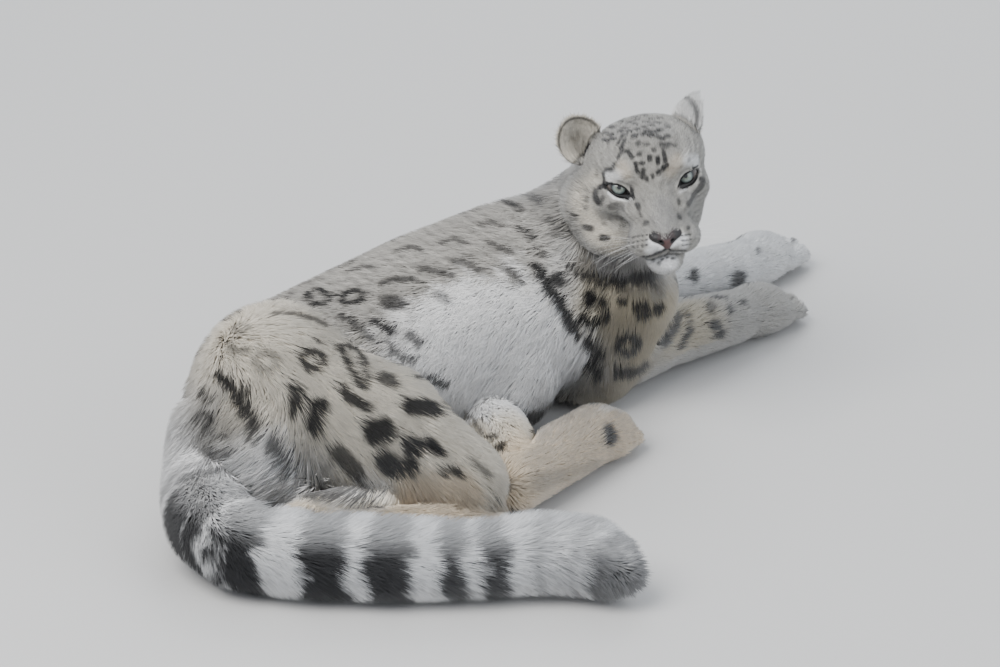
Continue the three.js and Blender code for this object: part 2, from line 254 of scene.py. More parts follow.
trunk = flow(
    30,
    chain(
        [330, 250, 114, 106],
        [355, 298, 124, 120],
        [414, 355, 124, 125],
        [532, 480, 126, 129],
        [636, 576, 127, 129],
        [708, 634, 138, 98],
    ),
    egg([588, 470, 84], [92, 88, 84], 42),
    egg([732, 640, 122], [74, 82, 90], 42),
)
neck = flow(
    24,
    chain([696, 606, 176, 98], [740, 606, 232, 78], [770, 590, 288, 68]),
    egg([758, 580, 200], [52, 52, 56]),
)
tail = chain(
    [296, 285, 142, 56],
    [274, 250, 122, 58],
    [268, 208, 92, 59],
    [265, 160, 72, 58],
    [271, 110, 62, 57],
    [304, 64, 57, 56],
    [366, 44, 54, 54],
    [474, 34, 53, 53],
    [572, 38, 50, 49],
    [643, 50, 52, 51],
    [700, 42, 52, 50],
    [740, 20, 44, 40],
)
skull = flow(
    16,
    headEgg([0, 54, 10], [76, 74, 54]),
    headEgg([0, 26, 26], [50, 38, 34]),
    *both(lambda s: headEgg([s * 31, 6, 21], [21, 18, 15])),
    headEgg([-50, 14, -17], [27, 28, 22]),
    headEgg([44, 14, -17], [26, 28, 22]),
    headEgg([-66, 50, -34], [46, 46, 54]),
    headEgg([39, 42, -22], [31, 46, 42]),
    headEgg([-54, 30, -62], [46, 42, 36]),
    *both(lambda s: headEgg([s * 26, -12, -24], [19, 25, 19])),
    headEgg([27, 20, -50], [31, 36, 32]),
    headEgg([0, -6, -60], [38, 46, 32]),
)
muzzle = flow(
    9,
    headChain([0, 10, -8, 26], [0, -30, -31, 25], [0, -56, -49, 20]),
    *both(lambda s: headEgg([s * 20.5, -46, -55], [24, 27, 20])),
    headEgg([-2, -40, -85], [22, 23, 17]),
)


# Feet: heel, tip and shape of each, for the flesh and for the grooves between the toes
foreFoot = {"width": 86, "height": 40, "padShare": 0.42, "padSize": [50, 42, 33], "padHeight": 32}
rearFoot = {"width": 80, "height": 38, "padShare": 0.74, "padSize": [46, 39, 32], "padHeight": 32}
feet = {
    "foreLimbRight": ([884, 706, 42], [976, 822, 30], foreFoot),
    "foreLimbLeft": ([895, 854, 42], [984, 992, 30], foreFoot),
    "hindFootRight": ([390, 134, 46], [648, 134, 28], rearFoot),
    "hindFootLeft": ([620, 248, 44], [764, 458, 28], rearFoot),
}
# A toe is three balls: how far short of the tip, height as a share of the foot's, and what its radius gains
toeBalls = [(62, 0.62, 0), (30, 0.6, 2), (15, 0.36, -2)]
toeCount = 4
toeFullness = 5.75  # foot width over toe radius
outerToeSetBack = 10


def footParts(heel, tip, shape):
    width, height = shape["width"], shape["height"]
    heel = np.array(heel, float)
    reach = np.hypot(tip[0] - heel[0], tip[1] - heel[1])
    turn = math.atan2(tip[1] - heel[1], tip[0] - heel[0])
    ahead = np.array([math.cos(turn), math.sin(turn)])
    across = np.array([-ahead[1], ahead[0]])
    radius = width / toeFullness
    toes = []
    for i in range(toeCount):
        side = ((i + 0.5) / toeCount - 0.5) * (width - radius)
        back = outerToeSetBack if i in (0, toeCount - 1) else 0
        balls = []
        for short, share, extra in toeBalls:
            place = heel[:2] + ahead * (reach - short - back) + across * side
            balls.append([*place, height * share, radius + extra])
        toes.append(chain(*balls))
    pad = [*(heel[:2] + ahead * reach * shape["padShare"]), shape["padHeight"]]
    return flow(4, *toes), egg(pad, shape["padSize"], math.degrees(turn)), pad


def foreLimb(name, forearm):
    wrist, tip, shape = feet[name]
    toes, palm, pad = footParts(wrist, tip, shape)
    return flow(10, chain(*forearm, [*wrist, 36], [*pad, 30]), palm, toes)


def hindFoot(name, instep):
    heel, tip, shape = feet[name]
    toes, palm, pad = footParts(heel, tip, shape)
    heel, tip = np.array(heel, float), np.array(tip, float)
    balls = [[*heel, 38]]
    for share, height, radius in ((0.35, 42, instep), (0.66, 38, instep - 1)):
        balls.append([*(heel + (tip - heel) * share)[:2], height, radius])
    return flow(10, chain(*balls), palm, toes)


# Each part of the body: its mass, the depth and the length of its coat, and the fillet to its neighbours
parts = {
    "trunk": {"mass": trunk, "depth": 21.0, "length": 54.0, "fillet": 20},
    "neck": {"mass": neck, "depth": 19.0, "length": 44.0, "fillet": 24},
    "thighRight": {
        "mass": chain([345, 282, 150, 104], [452, 234, 112, 92], [553, 186, 72, 60]),
        "depth": 15.0, "length": 44.0, "fillet": 14,
    },
    "thighLeft": {
        "mass": chain([372, 340, 86, 84], [466, 386, 74, 76], [560, 424, 62, 56]),
        "depth": 15.0, "length": 44.0, "fillet": 14,
    },
    "upperArmRight": {
        "mass": flow(
            20,
            chain([742, 582, 134, 78], [716, 548, 58, 55]),
            egg([700, 566, 140], [70, 60, 66], 42),
        ),
        "depth": 15.0, "length": 38.0, "fillet": 22,
    },
    "upperArmLeft": {
        "mass": chain([704, 682, 132, 76], [728, 728, 58, 54]),
        "depth": 15.0, "length": 38.0, "fillet": 22,
    },
    "shankRight": {
        "mass": chain([546, 202, 78, 50], [468, 170, 66, 44], [396, 142, 52, 33]),
        "depth": 10.0, "length": 27.0, "fillet": 8,
    },
    "shankLeft": {
        "mass": chain([564, 420, 62, 50], [600, 330, 56, 44], [619, 258, 48, 33]),
        "depth": 10.0, "length": 27.0, "fillet": 10,
    },
    "foreLimbRight": {
        "mass": foreLimb("foreLimbRight", [[716, 550, 55, 48], [800, 636, 52, 43]]),
        "depth": 7.0, "length": 19.0, "fillet": 12,
    },
    "foreLimbLeft": {
        "mass": foreLimb("foreLimbLeft", [[728, 728, 56, 48], [812, 786, 50, 41]]),
        "depth": 7.0, "length": 19.0, "fillet": 12,
    },
    "hindFootRight": {
        "mass": hindFoot("hindFootRight", 37),
        "depth": 7.0, "length": 18.0, "fillet": 7,
    },
    "hindFootLeft": {
        "mass": hindFoot("hindFootLeft", 39),
        "depth": 7.0, "length": 18.0, "fillet": 7,
    },
    "tail": {"mass": tail, "depth": 29.0, "length": 58.0, "fillet": 5},
    "head": {"mass": flow(20, skull, muzzle), "depth": 5.0, "length": 11.0, "fillet": 14},
}
partNames = list(parts)


def partDistances(p):
    return np.stack([parts[name]["mass"](p) for name in partNames], axis=1)


# Shares of the parts at each point: the nearest masses count most
def partShares(distances, softness=7.0):
    weight = np.exp(-(distances - distances.min(axis=1, keepdims=True)) / softness)
    return weight / weight.sum(axis=1, keepdims=True)


eye = {
    "spacing": 84.0,
    "radius": 15.5,
    "inset": 1.5,  # each eyeball sits this much nearer the middle than the pupil
    "back": 10.0,
    "up": -3.0,
    "lid": 1.7,  # thickness of the lids over the ball
}


def eyeCentre(side):
    return np.array([side * (eye["spacing"] / 2 - eye["inset"]), eye["back"], eye["up"]])


# The opening between the lids, in the head's axes: across from the pupil, and its two arcs.
# The gap at a place u from -1 at the inner corner to 1 at the outer is (1 - u^2) times the arc's height.
opening = {
    "inner": 13.5,
    "outer": 14.0,
    "rise": 2.6,  # its middle, above the centre of the ball
    "slantRight": 0.28,  # the outer corner is higher
    "slantLeft": 0.16,
    "upperArc": 5.9,
    "lowerArc": 6.4,
    "innerDrop": 2.6,
    "floor": 2.5,  # the skin goes on this far under the ball's surface
}


def openingGap(q, side):
    centre = eyeCentre(side)
    across = (q[:, 0] - side * eye["spacing"] / 2) * side
    u = np.where(across < 0, across / opening["inner"], across / opening["outer"])
    slant = opening["slantRight"] if side < 0 else opening["slantLeft"]
    drop = opening["innerDrop"] * np.clip(-u, 0, 1) ** 2
    height = q[:, 2] - centre[2] - opening["rise"] - slant * across + drop
    room = np.clip(1 - u**2, -1, 1)
    top = height - opening["upperArc"] * room
    bottom = -height - opening["lowerArc"] * room
    gap = np.maximum(top, bottom)
    return np.maximum(gap, (np.abs(u) - 1) * opening["inner"])


# Folds and hollows that the head's skin adds to its masses, as (centre, half size, depth of the dent)
faceDents = [
    ([0, -72, -60], [2.0, 14, 10], 2.6),  # cleft under the nose
    ([-33, -12, -17], [12, 14, 6], 1.0),  # hollow under each eye
    ([33, -12, -17], [12, 14, 6], 1.0),
    ([-21, -24, -6], [6, 16, 12], 2.2),  # beside the bridge
    ([21, -24, -6], [6, 16, 12], 2.2),
    ([0, -8, 30], [6, 22, 20], 1.6),  # groove up the forehead
]
faceSwells = [
    ([-31, -10, 29], [15, 14, 10], 3.4),  # brow puffs
    ([33, -10, 27], [15, 14, 10], 3.4),
    ([0, -50, -28], [11, 20, 8], 1.6),  # top of the bridge
    ([-27, -58, -52], [13, 12, 11], 2.0),  # whisker pads
    ([27, -58, -52], [13, 12, 11], 2.0),
]
mouth = {"corner": 27.0, "backAt": -28.0, "height": -70.0, "cornerHeight": -77.0, "width": 2.3, "depth": 6.0}


def faceBumps(q):
    lift = np.zeros(len(q))
    for centre, half, height in faceSwells:
        lift += height * np.exp(-(((q - centre) / half) ** 2).sum(axis=1))
    for centre, half, height in faceDents:
        lift -= height * np.exp(-(((q - centre) / half) ** 2).sum(axis=1))
    # the mouth: a groove that bows down from under the nose to each corner
    side = np.clip(np.abs(q[:, 0]) / mouth["corner"], 0, 1.6)
    line = mouth["height"] + (mouth["cornerHeight"] - mouth["height"]) * np.sin(side * math.pi / 2) ** 1.5
    inMouth = np.exp(-(((q[:, 2] - line) / mouth["width"]) ** 2))
    inMouth *= np.clip((mouth["corner"] * 1.15 - np.abs(q[:, 0])) / 8, 0, 1)
    inMouth *= np.clip((mouth["backAt"] - q[:, 1]) / 8, 0, 1)
    return lift - mouth["depth"] * inMouth


# The skin's own surface: parts flowed together, then sunk by the coat's depth
def skinDistance(p):
    distances = partDistances(p)
    joined = distances[:, 0]
    for i, name in enumerate(partNames[1:], start=1):
        joined = blendUnion(joined, distances[:, i], parts[name]["fillet"])
    depth = partShares(distances) @ np.array([parts[name]["depth"] for name in partNames])
    q = toHead(p)
    nearHead = np.linalg.norm(q - [0, 0, -15], axis=1) < 140
    face = np.clip((36 - q[:, 1]) / 40, 0, 1)  # the coat thins from the cheeks to the nose
    ruff = np.clip((q[:, 1] - 5) / 45, 0, 1) * np.clip((25 - q[:, 2]) / 30, 0, 1)
    headDepth = 3.8 + 9.0 * ruff - 1.6 * face * np.clip((-q[:, 1] - 10) / 30, 0, 1)
    headShare = partShares(distances)[:, -1]
    depth = depth + headShare * (headDepth - parts["head"]["depth"])
    surface = joined + depth
    surface[nearHead] -= faceBumps(q[nearHead]) * headShare[nearHead]
    for side in (-1, 1):
        centre = eyeCentre(side)
        near = np.linalg.norm(q - centre, axis=1) < 60
        if not near.any():
            continue
        ball = np.linalg.norm(q[near] - centre, axis=1) - eye["radius"] - eye["lid"]
        lidded = blendUnion(surface[near], ball, 5.0)
        under = eye["radius"] - opening["floor"] - np.linalg.norm(q[near] - centre, axis=1)
        gap = np.maximum(openingGap(q[near], side), np.maximum(under, q[near][:, 1] - centre[1]))
        surface[near] = blendCut(lidded, gap, 0.8)
    return surface


def slopeOf(distance, p, step=0.6):
    corners = np.array([[1, 1, 1], [1, -1, -1], [-1, 1, -1], [-1, -1, 1]], float)
    return sum(c * distance(p + c * step)[:, None] for c in corners) / (4 * step)


def unit(v):
    return v / np.maximum(np.linalg.norm(v, axis=1, keepdims=True), 1e-9)


def settle(distance, p, rounds=5, most=6.0):
    for _ in range(rounds):
        slope = slopeOf(distance, p)
        size = np.maximum((slope**2).sum(axis=1), 0.2)
        move = distance(p) / size
        p = p - np.clip(move, -most, most)[:, None] * slope
    return p


def meshObject(name, points, faces):
    mesh = bpy.data.meshes.new(name)
    mesh.from_pydata(toFrame(points), [], faces)
    obj = bpy.data.objects.new(name, mesh)
    bpy.context.scene.collection.objects.link(obj)
    mesh.shade_smooth()
    return obj


# Balls and eggs that fill the body, as a start for the skin's mesh
def fillBalls(mass, sink, out):
    if hasattr(mass, "balls"):
        for a, b in zip(mass.balls[:-1], mass.balls[1:]):
            span = np.linalg.norm(b[:3] - a[:3])
            count = max(2, int(span / (0.22 * min(a[3], b[3]))) + 1)
            for share in np.linspace(0, 1, count):
                ball = a + (b - a) * share
                out.append((ball[:3], np.full(3, max(ball[3] - sink, 4.0)), np.eye(3)))
    elif hasattr(mass, "egg"):
        centre, half, spin = mass.egg
        out.append((centre, np.maximum(half - sink, 4.0), spin))
    else:
        for inner in mass.masses:
            fillBalls(inner, sink, out)


skinPlan = {"voxel": 6.5, "headRadius": 118.0, "faceRadius": 66.0, "eyeRadius": 25.0}


def makeSkin():
    filling = []
    for name in partNames:
        fillBalls(parts[name]["mass"], parts[name]["depth"], filling)
    ball = bmesh.new()
    bmesh.ops.create_icosphere(ball, subdivisions=3, radius=1.0)
    ballPoints = np.array([v.co for v in ball.verts])
    ballFaces = np.array([[v.index for v in f.verts] for f in ball.faces])
    ball.free()
    points = np.concatenate([(ballPoints * half) @ spin.T + centre for centre, half, spin in filling])
    faces = np.concatenate([ballFaces + i * len(ballPoints) for i in range(len(filling))])
    start = bpy.data.meshes.new("skin_start")
    start.from_pydata(toFrame(points), [], faces.tolist())
    skin = bpy.data.objects.new("skin", start)
    bpy.context.scene.collection.objects.link(skin)
    remesh = skin.modifiers.new("one_skin", "REMESH")
    remesh.mode = "VOXEL"
    remesh.voxel_size = skinPlan["voxel"] * mm
    bpy.context.view_layer.update()
    whole = bpy.data.meshes.new_from_object(skin.evaluated_get(bpy.context.evaluated_depsgraph_get()))
    skin.modifiers.clear()
    skin.data = whole
    whole.name = "skin"
    stage("skin drawn over %d balls: %d corners" % (len(filling), len(whole.vertices)))
    settleMesh(whole, rounds=4)
    for centre, radius in (
        (fromHead([0, 20, -20]), skinPlan["headRadius"]),
        (fromHead([0, -30, -20]), skinPlan["faceRadius"]),
        (fromHead(eyeCentre(-1) + [0, -12, 0]), skinPlan["eyeRadius"]),
        (fromHead(eyeCentre(1) + [0, -12, 0]), skinPlan["eyeRadius"]),
    ):
        refine(whole, centre, radius)
    settleMesh(whole, rounds=6)
    keepBiggest(whole)
    stage("skin settled: %d corners" % len(whole.vertices))
    return skin


def meshPoints(mesh):
    flat = np.empty(len(mesh.vertices) * 3, np.float32)
    mesh.vertices.foreach_get("co", flat)
    return flat.reshape(-1, 3).astype(float) / mm + frameShift


def setMeshPoints(mesh, points):
    mesh.vertices.foreach_set("co", toFrame(points).astype(np.float32).ravel())
    mesh.update()


# Settle onto the skin's surface, easing the mesh between moves so that its faces stay even
def settleMesh(mesh, rounds):
    points = meshPoints(mesh)
    edges = np.empty(len(mesh.edges) * 2, np.int32)
    mesh.edges.foreach_get("vertices", edges)
    edges = edges.reshape(-1, 2)
    count = np.bincount(edges.ravel(), minlength=len(points))[:, None]
    for _ in range(rounds):
        total = np.zeros_like(points)
        np.add.at(total, edges[:, 0], points[edges[:, 1]])
        np.add.at(total, edges[:, 1], points[edges[:, 0]])
        points = points + 0.5 * (total / np.maximum(count, 1) - points)
        points = settle(skinDistance, points, rounds=1)
    points = settle(skinDistance, points, rounds=2, most=2.0)
    points[:, 2] = np.maximum(points[:, 2], 0.6)
    q = toHead(points)
    for side in (-1, 1):  # whatever still lies over an opening goes back into the eyeball
        away = q - eyeCentre(side)
        gap = np.linalg.norm(away, axis=1)
        most = eye["radius"] - opening["floor"]
        over = (gap > most) & (gap < 34) & (away[:, 1] < 0) & (openingGap(q, side) < -0.3)
        q[over] = eyeCentre(side) + away[over] * (most / gap[over])[:, None]
    setMeshPoints(mesh, fromHead(q))


def refine(mesh, centre, radius):
    work = bmesh.new()
    work.from_mesh(mesh)
    middle = Vector(toFrame(centre))
    reach = radius * mm
    edges = [e for e in work.edges if all((v.co - middle).length < reach for v in e.verts)]
    bmesh.ops.subdivide_edges(work, edges=edges, cuts=1, use_grid_fill=True)
    bmesh.ops.triangulate(work, faces=[f for f in work.faces if len(f.verts) > 4])
    work.to_mesh(mesh)
    work.free()


# Crumbs left by the remesh are dropped: only the biggest island stays
def keepBiggest(mesh):
    work = bmesh.new()
    work.from_mesh(mesh)
    work.verts.ensure_lookup_table()
    island = np.full(len(work.verts), -1)
    sizes = []
    for seed in work.verts:
        if island[seed.index] >= 0:
            continue
        label = len(sizes)
        island[seed.index] = label
        queue = [seed]
        size = 0
        while queue:
            vert = queue.pop()
            size += 1
            for edge in vert.link_edges:
                other = edge.other_vert(vert)
                if island[other.index] < 0:
                    island[other.index] = label
                    queue.append(other)
        sizes.append(size)
    biggest = int(np.argmax(sizes))
    bmesh.ops.delete(work, geom=[v for v in work.verts if island[v.index] != biggest], context="VERTS")
    work.to_mesh(mesh)
    work.free()
    mesh.shade_smooth()


# Smooth seeded noise: a few sine waves in every direction, between about -1 and 1
class Waves:
    def __init__(self, seed, size, count=9):
        dice = np.random.default_rng(seed)
        ways = unit(dice.normal(size=(count, 3)))
        self.pull = ways * (2 * math.pi / size) * dice.uniform(0.6, 1.5, (count, 1))
        self.shift = dice.uniform(0, 2 * math.pi, count)

    def __call__(self, p):
        return np.sin(p @ self.pull.T + self.shift).sum(axis=1) / math.sqrt(len(self.shift))


def smooth(low, high, x):
    share = np.clip((x - low) / (high - low), 0, 1)
    return share * share * (3 - 2 * share)


# The way the hair lies on each part: along these lines, in the order of their points
lines = {
    "trunk": [[745, 660, 150], [636, 576, 135], [532, 480, 130], [414, 355, 126], [330, 250, 116]],
    "neck": [[770, 590, 300], [740, 606, 232], [690, 600, 160]],
    "thighRight": [[240, 330, 190], [345, 290, 160], [450, 236, 116], [560, 182, 60]],
    "thighLeft": [[372, 340, 110], [466, 386, 74], [570, 428, 56]],
    "upperArmRight": [[742, 582, 170], [724, 556, 90], [712, 540, 40]],
    "upperArmLeft": [[704, 682, 150], [728, 728, 50]],
    "shankRight": [[556, 206, 82], [468, 170, 66], [380, 138, 50]],
    "shankLeft": [[560, 430, 62], [600, 330, 56], [622, 240, 46]],
    "foreLimbRight": [[700, 530, 58], [800, 636, 52], [884, 706, 44], [976, 822, 26]],
    "foreLimbLeft": [[715, 705, 58], [812, 786, 50], [895, 854, 44], [984, 992, 26]],
    "hindFootRight": [[380, 134, 50], [520, 134, 44], [648, 134, 24]],
    "hindFootLeft": [[612, 236, 48], [690, 350, 42], [764, 458, 24]],
    "tail": tail.balls[:, :3],
}
noseTip = np.array([0.0, -78.0, -46.0])
hangOfCoat = 0.16  # how far hair off the floor leans down


# Place along a line in mm, angle round it, and its direction there, which turns evenly from point to point
def alongLine(p, points):
    points = np.array(points, float)
    runs = np.diff(points, axis=0)
    lengths = np.linalg.norm(runs, axis=1)
    ways = runs / lengths[:, None]
    corners = np.vstack([ways[:1], unit(ways[:-1] + ways[1:]), ways[-1:]])
    best = np.full(len(p), np.inf)
    place = np.zeros(len(p))
    way = np.zeros((len(p), 3))
    foot = np.zeros((len(p), 3))
    for i in range(len(runs)):
        share = np.clip((p - points[i]) @ runs[i] / lengths[i] ** 2, 0, 1)
        axis = points[i] + share[:, None] * runs[i]
        gap = np.linalg.norm(p - axis, axis=1)
        near = gap < best
        best[near] = gap[near]
        place[near] = lengths[:i].sum() + share[near] * lengths[i]
        way[near] = corners[i] + share[near, None] * (corners[i + 1] - corners[i])
        foot[near] = axis[near]
    return place, unit(way), p - foot


def lieOfCoat(p, normals, shares):
    way = np.zeros_like(p)
    for i, name in enumerate(partNames):
        here = shares[:, i] > 0.02
        if not here.any():
            continue
        if name == "head":
            q = toHead(p[here])
            out = unit(q - noseTip)
            out[:, 1] += 0.35
            for side in (-1, 1):  # hair parts round the eyes
                away = q - eyeCentre(side)
                gap = np.linalg.norm(away, axis=1, keepdims=True)
                out += 1.3 * away / np.maximum(gap, 1) * np.exp(-(((gap - eye["radius"]) / 9) ** 2))
            direction = out @ headTurn.T
        else:
            direction = alongLine(p[here], lines[name])[1]
            if "Foot" not in name and "Limb" not in name:
                direction[:, 2] -= hangOfCoat
        way[here] += shares[here, i : i + 1] * direction
    way -= (way * normals).sum(axis=1, keepdims=True) * normals
    return unit(way)


# Markings, and a few strokes of painted shade under the chin, under the right eye and between the toes. Each
# is a stroke: shade, width and points, in pixels of the picture, laid on the coat's surface.
def spot(x, y, long, wide=None, angle=0.0, shade=0.92):
    wide = wide or long
    reach = max(long - wide, 0.1) / 2
    dx, dy = reach * math.cos(math.radians(angle)), reach * math.sin(math.radians(angle))
    return shade, min(wide, long), [(x - dx, y - dy), (x + dx, y + dy)]


def ring(x, y, long, wide, angle=0.0, width=5.0, shade=0.85, start=0, turn=360):
    points = []
    for a in np.radians(np.linspace(start, start + turn, max(4, int(turn / 30) + 1))):
        u, v = (long - width) / 2 * math.cos(a), (wide - width) / 2 * math.sin(a)
        c, s = math.cos(math.radians(angle)), math.sin(math.radians(angle))
        points.append((x + u * c - v * s, y + u * s + v * c))
    return shade, width, points


def line(shade, width, *points):
    return shade, width, list(points)


bodyMarksAndShade = [
    # haunch
    ring(315.2, 360, 26, 25, 0, 6, 0.9),
    ring(267.8, 363, 30, 27, 0, 6, 0.45),
    spot(298.4, 405.2, 34, 11, -80, 0.92),
    spot(318.4, 420, 38, 14, -78, 0.95),
    line(0.9, 6, (340.4, 344.2), (347.8, 356.8), (358.3, 375.7), (364.6, 386.2)),
    line(0.85, 5, (341, 343.5), (358.3, 346.3), (366.8, 363.1), (369.9, 375.7), (366.8, 386.2)),
    line(0.92, 8, (346.8, 388.4), (352, 398.9), (371, 407.3)),
    spot(391.5, 378.5, 20, 15, 20, 0.85),
    line(0.88, 5, (417.3, 374.7), (432, 378.9), (447.8, 388.4)),
    line(0.7, 5, (387.8, 342.1), (400.4, 354.7), (414.1, 362)),
    spot(427.8, 407.3, 44, 15, 3, 0.95),
    spot(381.5, 432.5, 27, 21, -20, 0.95),
    spot(417, 449, 20, 16, 0, 0.97),
    line(0.97, 9, (417, 449), (432, 443), (441, 452)),
    line(0.95, 16, (387, 463), (398, 474), (410, 468)),
    line(0.9, 5, (444.6, 476.7), (453, 470.4), (465.7, 475.7)),
    line(0.8, 14, (339.4, 455.7), (350, 466), (358.3, 478.8)),
    line(0.8, 9, (271, 443), (276, 468), (293, 485), (318, 496), (350, 502), (381, 502)),
    # rump and the root of the tail
    line(0.92, 9, (215, 376.8), (225.8, 386.2), (234.2, 401), (244.7, 413.6), (253, 428)),
    spot(242.6, 394.7, 13, 10, 0, 0.85),
    spot(196, 394, 10, 7, 0, 0.85),
    spot(202, 401, 14, 4, 0, 0.7),
    ring(199.5, 420, 24, 16, 0, 5, 0.8),
    line(0.75, 4, (188, 438), (210, 435), (225, 437)),
    line(0.85, 7, (203, 451), (213, 456), (225, 457)),
    line(0.65, 8, (176, 479), (195, 471), (215, 468), (233, 469)),
    line(0.8, 5, (242.6, 432.5), (253, 443)),
    ring(240.5, 325.2, 20, 13, 0, 4, 0.45),
    line(0.5, 5, (228, 345), (236, 352), (246, 350)),
    # along the back
    ring(316, 293.7, 26, 21, 0, 6, 0.92),
    ring(352, 294, 27, 19, -15, 6, 0.92),
    spot(392, 300, 24, 15, 0, 0.78),
    line(0.92, 8, (374, 320), (382, 324), (391, 330)),
    spot(415, 338, 18, 10, 50, 0.73),
    spot(442.5, 295.8, 18, 9, 30, 0.58),
    line(0.73, 6, (276, 310), (295, 311), (318, 318), (324, 322)),
    line(0.78, 7, (339.4, 314.7), (356, 325), (371, 337.8)),
    spot(322.6, 340, 8, 6, 0, 0.88),
    line(0.73, 6, (381, 280), (396, 276), (412, 277)),
    line(0.68, 7, (420, 266), (434, 268), (450, 274)),
    line(0.63, 6, (300, 283), (315, 277)),
    line(0.68, 6, (350, 268), (362, 263), (372, 265)),
    line(0.68, 6, (398, 247), (410, 244), (420, 247)),
    line(0.68, 6, (440, 240), (452, 235), (462, 240)),
    line(0.63, 7, (455, 258), (468, 262), (478, 268)),
    line(0.68, 6, (478, 222), (490, 218), (500, 222)),
    line(0.68, 6, (490, 240), (500, 246), (510, 250)),
    line(0.88, 6, (498, 196), (508, 199), (515, 204)),
    line(0.88, 6, (520, 190), (530, 193), (536, 200)),
    line(0.88, 6, (515, 222), (526, 228), (530, 236)),
    line(0.78, 6, (540, 215), (548, 222), (552, 232)),
    line(0.78, 6, (535, 245), (542, 252)),
    line(0.68, 6, (505, 268), (516, 274), (522, 282)),
    # shoulder, chest and right foreleg
    spot(592, 301.8, 18, 15, 90, 0.97),
    spot(603.6, 305.4, 12, 10, 90, 0.95),
    line(0.97, 9, (584, 320), (590, 328), (600, 330), (607, 322)),
    spot(623, 302.5, 9, 6, 0, 0.95),
    spot(642.4, 309, 17, 8, -10, 0.95),
    spot(646, 317.6, 18, 8, -15, 0.95),
    spot(661.8, 310.3, 14, 8, 20, 0.95),
    ring(629, 347.9, 29, 23, -10, 7, 0.95),
    line(0.9, 7, (681, 312.7), (678.7, 324.8), (667.8, 341.8)),
    line(0.85, 5, (688.4, 307.9), (693, 320)),
    line(0.92, 7, (693.3, 329.7), (684.8, 346.6)),
    spot(713.9, 305.4, 14, 8, 90, 0.7),
    spot(718.7, 324.8, 13, 10, 0, 0.95),
    spot(723.6, 334.5, 12, 9, 0, 0.95),
    spot(733.3, 307.9, 10, 7, 90, 0.9),
    spot(746.6, 300.6, 9, 5, 90, 0.9),
    line(0.92, 10, (537, 266.7), (546.6, 283.6), (561, 305.4), (570.9, 324.8), (579.4, 337)),
    line(0.92, 9, (587.8, 344.2), (600, 361)),
    line(0.92, 10, (587.8, 370.9), (597, 379)),
    spot(558.8, 278.8, 14, 12, 0, 0.9),
    spot(570.9, 266.7, 9, 6, 0, 0.9),
    line(0.88, 7, (578, 274), (590, 278.8), (604.8, 286)),
    # these two dark spots are painted shadow on the chest under the chin
    spot(619.4, 286, 22, 8, 0, 0.92),
    spot(646, 281, 30, 12, 0, 0.85),
    line(0.9, 10, (619, 375.7), (646, 368.5)),
    # left foreleg
    spot(697.6, 274, 15, 9, 95, 0.97),
    spot(743, 279, 16, 15, 0, 0.9),
    spot(761, 248.5, 7, 5, 0, 0.9),
    spot(720, 295, 16, 5, 0, 0.85),
    # groin, left hind leg and its sole
    spot(537, 419, 24, 14, 0, 0.6),
    spot(491, 436.3, 10, 5, 0, 0.85),
    spot(499.4, 447.2, 15, 8, -30, 0.85),
    line(0.6, 3, (466.7, 414.5), (481, 434)),
    line(0.6, 5, (476, 460.5), (491, 475)),
    spot(614.5, 434, 20, 17, 90, 0.98),
]
